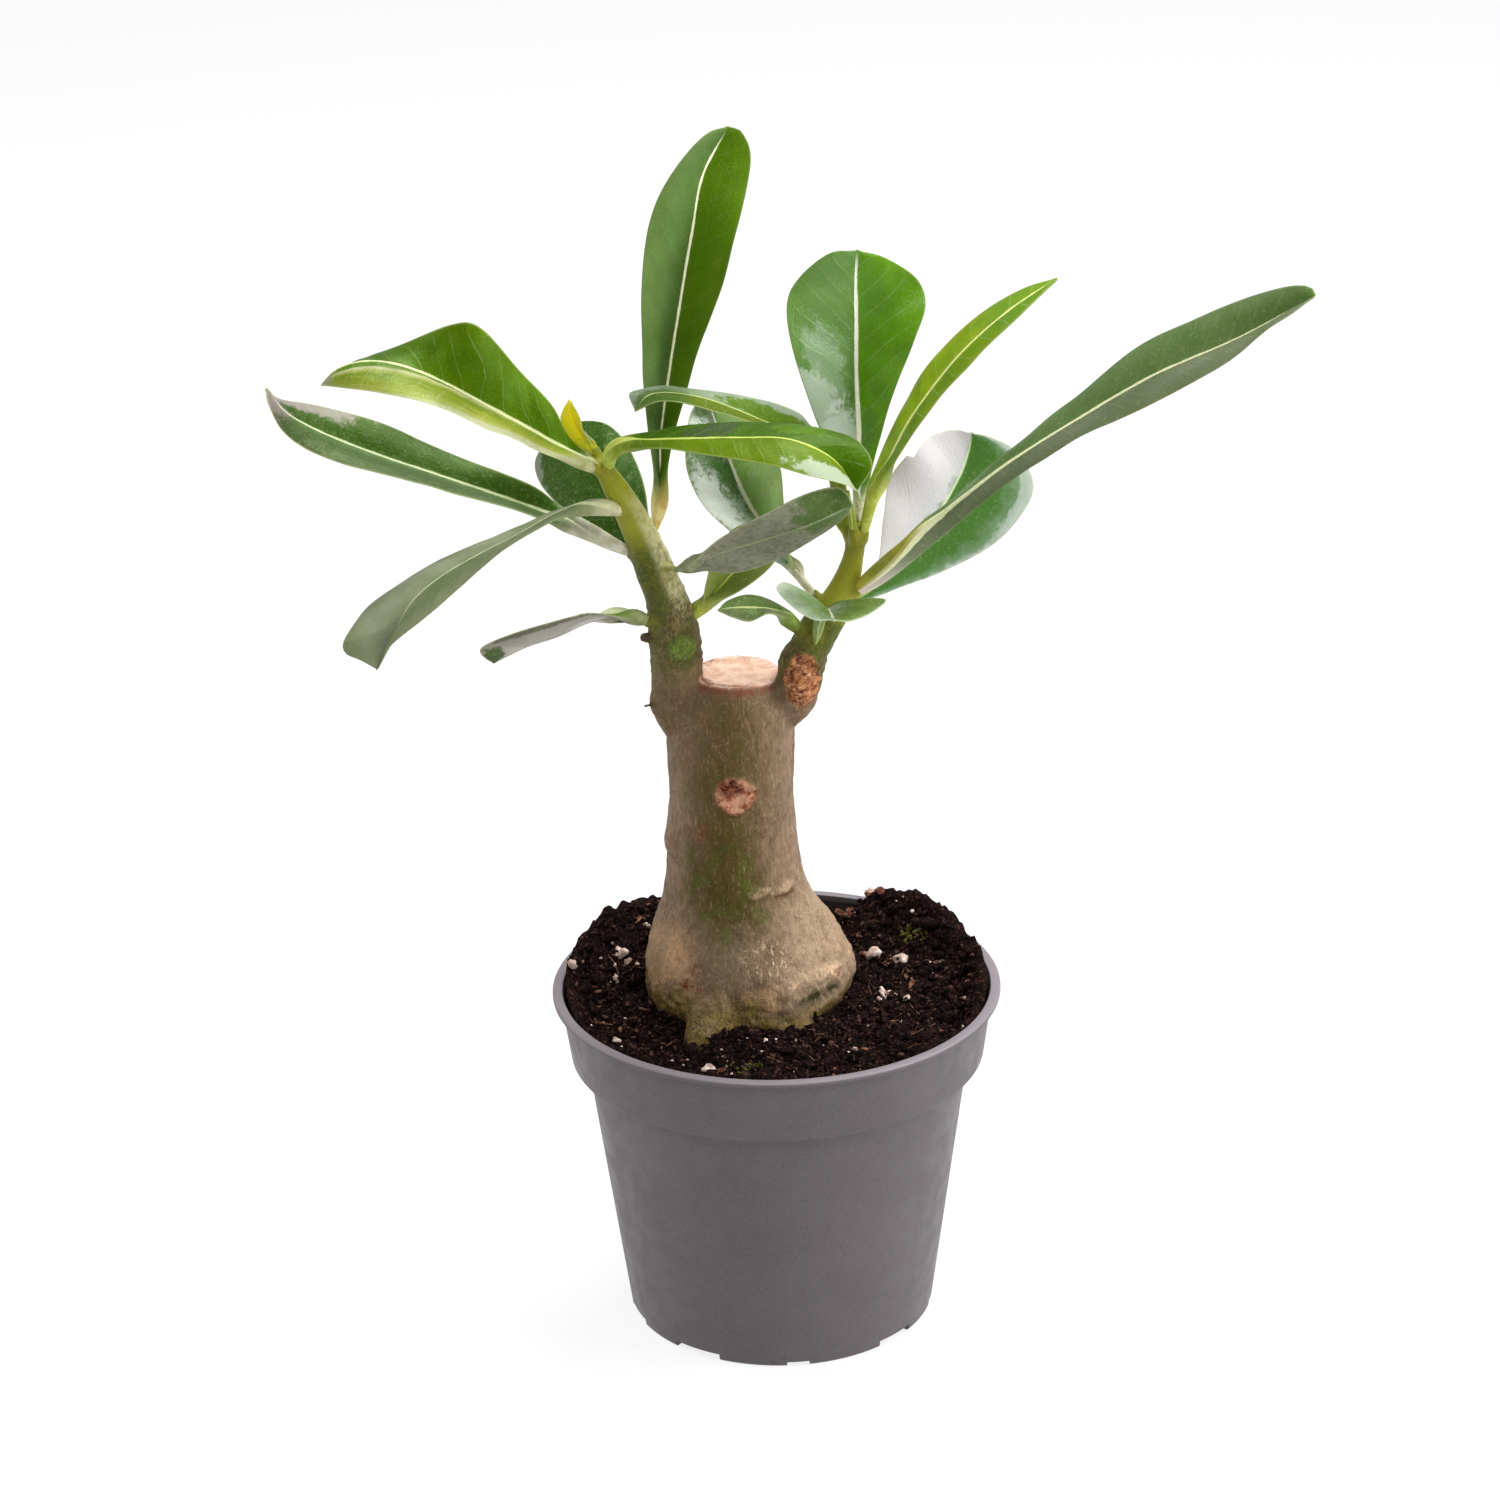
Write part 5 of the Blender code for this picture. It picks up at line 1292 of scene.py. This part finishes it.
# ---- colours of the leaves ---------------------------------------------------------------------
# left and right: colours from the midrib to the margin, evenly spaced or each at its @. rib: colour,
# half width in mm at the base and at the tip. spots: place along and across (-1 right margin, 1 left
# margin), reach along and across, colour, strength. mottle: colour, strength, on the left half unless
# all_mottled. under_mottle: the same, underneath. left_streaks: strength of streaks on the left half
# only. nick: place along the left margin, depth. slim: how narrow the foot stays and for how many mm.
# wave, bulge, pucker: how far the blade leaves its plane. shine, glare: strength and tint of the sheen.
# roughness: of the upper side. wander, skew: how the bands of colour stray and slant. What a leaf does
# not say is as in PLAIN_LOOK.
PLAIN_LOOK = dict(
    wave=0.35, slim=(0.72, 8), bulge=0.05, pucker=0.11, shine=0.3, glare="b4e650", wander=0.22, skew=0,
    shade_share=0.3, shade="2c4c08", streak="6f8c20", spots=(), veins=0.1, net=0.02, speckle=0.25,
    speck="a9b884", rim_share=0.35, rim="b9c286", rib_shade="b8b77e", stalk="c9c79a", stalk_shade="a8a86c",
    under="8a9a66", under_shade="74844c", under_spots=(), under_rib="c3cda2", roughness=0.4)
LOOKS = {
    "left_folded_leaf": dict(
        left="426407 47680e@0.14 acaa86@0.22 8a9148@0.32 627318@0.44 778023@0.75 898e42@0.92 a2a281",
        right="446200 3b5a00 486601", rib=("cacf9e", 0.6, 0.35), skew=0.45, wander=0.05, streak="9aa24a",
        veins=0.13, speckle=0.08, speck="86a04c", spots=((0.985, 0, 0.05, 2, "77715a", 0.85),),
        left_streaks=0.4, roughness=0.34),
    "left_long_leaf": dict(
        left="55723b 455a30@0.4 414f35", right="345215 2f4d13 3a551e", rib=("d3dcb4", 0.65, 0.35),
        stalk="d8d2c4", stalk_shade="b9b59c", veins=0.07, speckle=0.3, speck="8ea27e",
        spots=((1, 0, 0.11, 3, "877973", 0.95), (0.86, -1.1, 0.2, 0.7, "948986", 0.95),
        (0.78, 1, 0.2, 0.15, "3c3b23", 0.6)), slim=(0.55, 26), roughness=0.34),
    # left drooping leaf: a grey-green leaf whose paler right half is partly painted sheen
    "left_drooping_leaf": dict(
        left="6d7556 687352 74795f", right="878e73 8b9078 7e8469", rib=("b9c49c", 0.45, 0.3),
        stalk="d6d0ae", stalk_shade="b7b284", speckle=0.2, rim="8c8a70", rim_share=0.3),
    "left_low_leaf": dict(
        left="97938b 6c695f", right="a8a39f 8f8a82", rib=("9c958a", 0.5, 0.3), stalk="8e9468",
        stalk_shade="747a50", under="5f7a30", under_shade="6c8440", shade="5b5548",
        spots=((0.95, -0.5, 0.1, 0.6, "2f441a", 0.9), (0.45, 0.1, 0.16, 0.6, "c4c0bc", 0.7),
        (0.62, -0.9, 0.3, 0.2, "3f3a30", 0.7)), slim=(0.5, 16), net=0.05),
    "tall_upright_leaf": dict(
        left="547133 57733d 5f7743", right="4d6e08 486a08 51720e", rib=("f8f8da", 1.1, 0.4),
        rib_shade="e9ecc6", stalk="d8c98c", stalk_shade="bfa25a", veins=0.05, speckle=0.1, speck="86a060",
        bulge=0.03, rim="6c7a4a", rim_share=0.3, roughness=0.36),
    "left_back_leaf": dict(
        left="1f4001 274606", right="1f4001 224302", rib=("7d8c40", 0.4, 0.3), veins=0.06, shine=0.12,
        spots=((0.8, 1, 0.12, 0.22, "7d8478", 0.8),), net=0.05),
    # centre arching leaf: the pale spot near the tip of the right half is painted reflection
    "centre_arching_leaf": dict(
        left="3a5c00 315300 365600", right="5b7301 526d00 596e02", rib=("b9c860", 0.45, 0.25),
        stalk="bcc660", stalk_shade="9aa83c", veins=0.12, speckle=0.08, speck="8cac40",
        spots=((0.45, 0.4, 0.1, 0.6, "3a4a2c", 0.9), (0.88, -0.75, 0.17, 0.45, "a0aa94", 0.9),
        (0.7, 0.6, 0.1, 0.4, "567a10", 0.5)), rim="a9b878", shine=0.2, roughness=0.36),
    # centre upper leaf: the pale grey-green of the right half is painted sheen; the olive spot in it is the
    # leaf's own
    "centre_upper_leaf": dict(
        left="5b6a0c 5f6f0f 4e5e08", right="768968 8a9783 869381", rib=("b3c078", 0.45, 0.25),
        stalk="98a044", stalk_shade="7c8a28", veins=0.12, speckle=0.15,
        spots=((0.9, 0.3, 0.12, 1.2, "44602a", 0.8), (0.56, -0.4, 0.2, 0.5, "4c6a04", 0.95),
        (0.8, -0.5, 0.08, 0.5, "6c8458", 0.6)), under="7f9430", under_shade="6d8620", under_rib="b9c07c",
        shine=0.12, roughness=0.46),
    # centre back leaf: the near-white bands of its left half, the white spots on it and the pale specks are
    # painted reflection of a bright lamp; the dark green mottle breaks them up
    "centre_back_leaf": dict(
        left="88a07c b4c2b0@0.14 cfd6ce@0.34 e0e5df@0.75 b0bca8@0.93 7c906c",
        right="9dc766 9ac469@0.4 b3d784", rib=("fbfae6", 1.2, 0.5), rib_shade="e6e8cf", stalk="dcd8b8",
        veins=0.15, speckle=0.5, speck="c4d0c0", spots=((0.8, 0.5, 0.13, 0.6, "4c7438", 0.85),
        (0.66, 0.2, 0.1, 0.25, "467030", 0.9), (0.55, 0.75, 0.16, 0.4, "e2e6e0", 0.9),
        (0.9, 0.85, 0.08, 0.3, "b4c2ae", 0.7), (0.97, 0.3, 0.08, 0.9, "5c8040", 0.8)), glare="ffffff",
        shine=0.5, wander=0.45, net=0.03, mottle=("4f7639", 0.85), roughness=0.26),
    "centre_front_leaf": dict(
        left="7f7f6f 878675", right="7f7f6f 878675", rib=("8c9474", 0.35, 0.25), stalk="8f9478",
        stalk_shade="7c8260", shade="5f6250", under="6f715e", under_shade="5a5e44", under_rib="8a9072",
        spots=((0.93, 0, 0.24, 1.6, "3f5c1c", 0.8),), under_spots=((0.93, 0, 0.24, 1.6, "3f5c1c", 0.8),),
        veins=0.08, streak="70785c", slim=(0.1, 15), net=0.03, mottle=("4c5238", 0.45),
        under_mottle=("4c5238", 0.45), roughness=0.42, all_mottled=True),
    "centre_lower_leaf": dict(
        left="6d7c2d 7b8544", right="6d7c2d 7b8544", rib=("bfc35c", 0.6, 0.3), stalk="b0b454",
        stalk_shade="98a044", net=0.05),
    "centre_small_leaf": dict(
        left="4b582d 5d664a", right="3b4e1f 48582f", rib=("a3ae74", 0.35, 0.25), stalk="7c9048",
        stalk_shade="687c34", veins=0.08, roughness=0.36, net=0.05),
    "right_near_leaf": dict(
        left="556d2a 516a23 647845", right="5a7844 76905f@0.5 a3b298@0.85 c4ccbc",
        rib=("c3ceb0", 0.45, 0.3), stalk="8fa058", stalk_shade="748838", veins=0.12, rim="b4c2a4",
        rim_share=0.5, mottle=("4a6426", 0.4), roughness=0.26, net=0.05),
    # right upright leaf: the four pale spots on the left half are painted reflection
    "right_upright_leaf": dict(
        left="63883e 658a45 5f8336", right="5e9705 578d00 639705", rib=("fbfae6", 1.15, 0.4),
        rib_shade="e6eacb", stalk="dfdebc", veins=0.24, speckle=0.1, speck="9cb488",
        spots=((0.58, 0.55, 0.16, 0.4, "9db396", 0.45), (0.45, 0.8, 0.15, 0.45, "b9c7b4", 0.65),
        (0.33, 0.4, 0.16, 0.6, "c4d0c1", 0.85), (0.22, 0.35, 0.12, 0.7, "c9d4c6", 0.9),
        (0.36, -0.35, 0.1, 0.5, "4c7420", 0.5), (0.2, -0.3, 0.12, 0.6, "7c9a64", 0.6)), glare="f0ffe8",
        shine=0.4, bulge=0.04, rim="7c8c54", rim_share=0.3, wander=0.3, mottle=("56803a", 0.5),
        roughness=0.28),
    "right_narrow_leaf": dict(
        left="94ad0d 88a806 94a525", right="729006 678702 79900f", rib=("e9ed9c", 0.65, 0.3),
        stalk="c6cc68", stalk_shade="a9b440", veins=0.26, speckle=0.08, speck="b4c860",
        spots=((1, 0, 0.3, 2.5, "5f8a28", 0.6),), roughness=0.34),
    "right_long_leaf": dict(
        left="586f41 546c3c 62774d", right="626a51 69705a 636c4f", rib=("dcdeb4", 0.65, 0.35),
        stalk="a8a03c", stalk_shade="96902c", stalk_right="e0d2c8", speckle=0.2, rim="8a8c74",
        rim_share=0.3, pucker=0.04),
    # right back leaf: the pale grey left half and its pale streaks, and the pale bands and spots along the
    # right margin, are painted reflection; the green is the leaf's own
    "right_back_leaf": dict(
        left="98a498 c0bfbf@0.1 c9c4c5@0.5 c4bfc0",
        right="4f7a34 47702a@0.15 44702a@0.6 6f8c66@0.85 b4bdb2", rib=("c9d8ac", 0.5, 0.3), stalk="b4b880",
        wander=0.5, shade="bab5b6", veins=0.05, speckle=0.3, speck="8fa888", nick=(0.7, 2), streak="c9c9c6",
        spots=((0.6, -0.2, 0.2, 0.12, "8fa890", 0.6), (0.75, -0.92, 0.25, 0.12, "b4c0b4", 0.75)), wave=0.08,
        bulge=0.015, glare="ffffff", shine=0.12, pucker=0.02, shade_share=0, left_streaks=0.05,
        roughness=0.34),
    "left_young_leaf": dict(
        left="eed91b d3c81b", right="eed91b dacc20", rib=("e9c82c", 0.45, 0.25), stalk="cfc838",
        stalk_shade="bcb428", shade="b0a808", wave=0.15, spots=((0.25, 0, 0.3, 2, "9aac18", 0.6),),
        roughness=0.36, net=0.05),
    "right_young_leaf": dict(
        left="859213 7e8d0b", right="859213 7e8d0b", rib=("c9d06c", 0.3, 0.2), stalk="a9b444", wave=0.1,
        net=0.05),
}


# ---- all of it ---------------------------------------------------------------------------------
def main():
    make_pot()
    make_soil()
    make_trunk()
    for seed, (name, spec) in enumerate(LEAVES.items()):
        make_leaf(name, spec, seed)
    make_stage()


main()
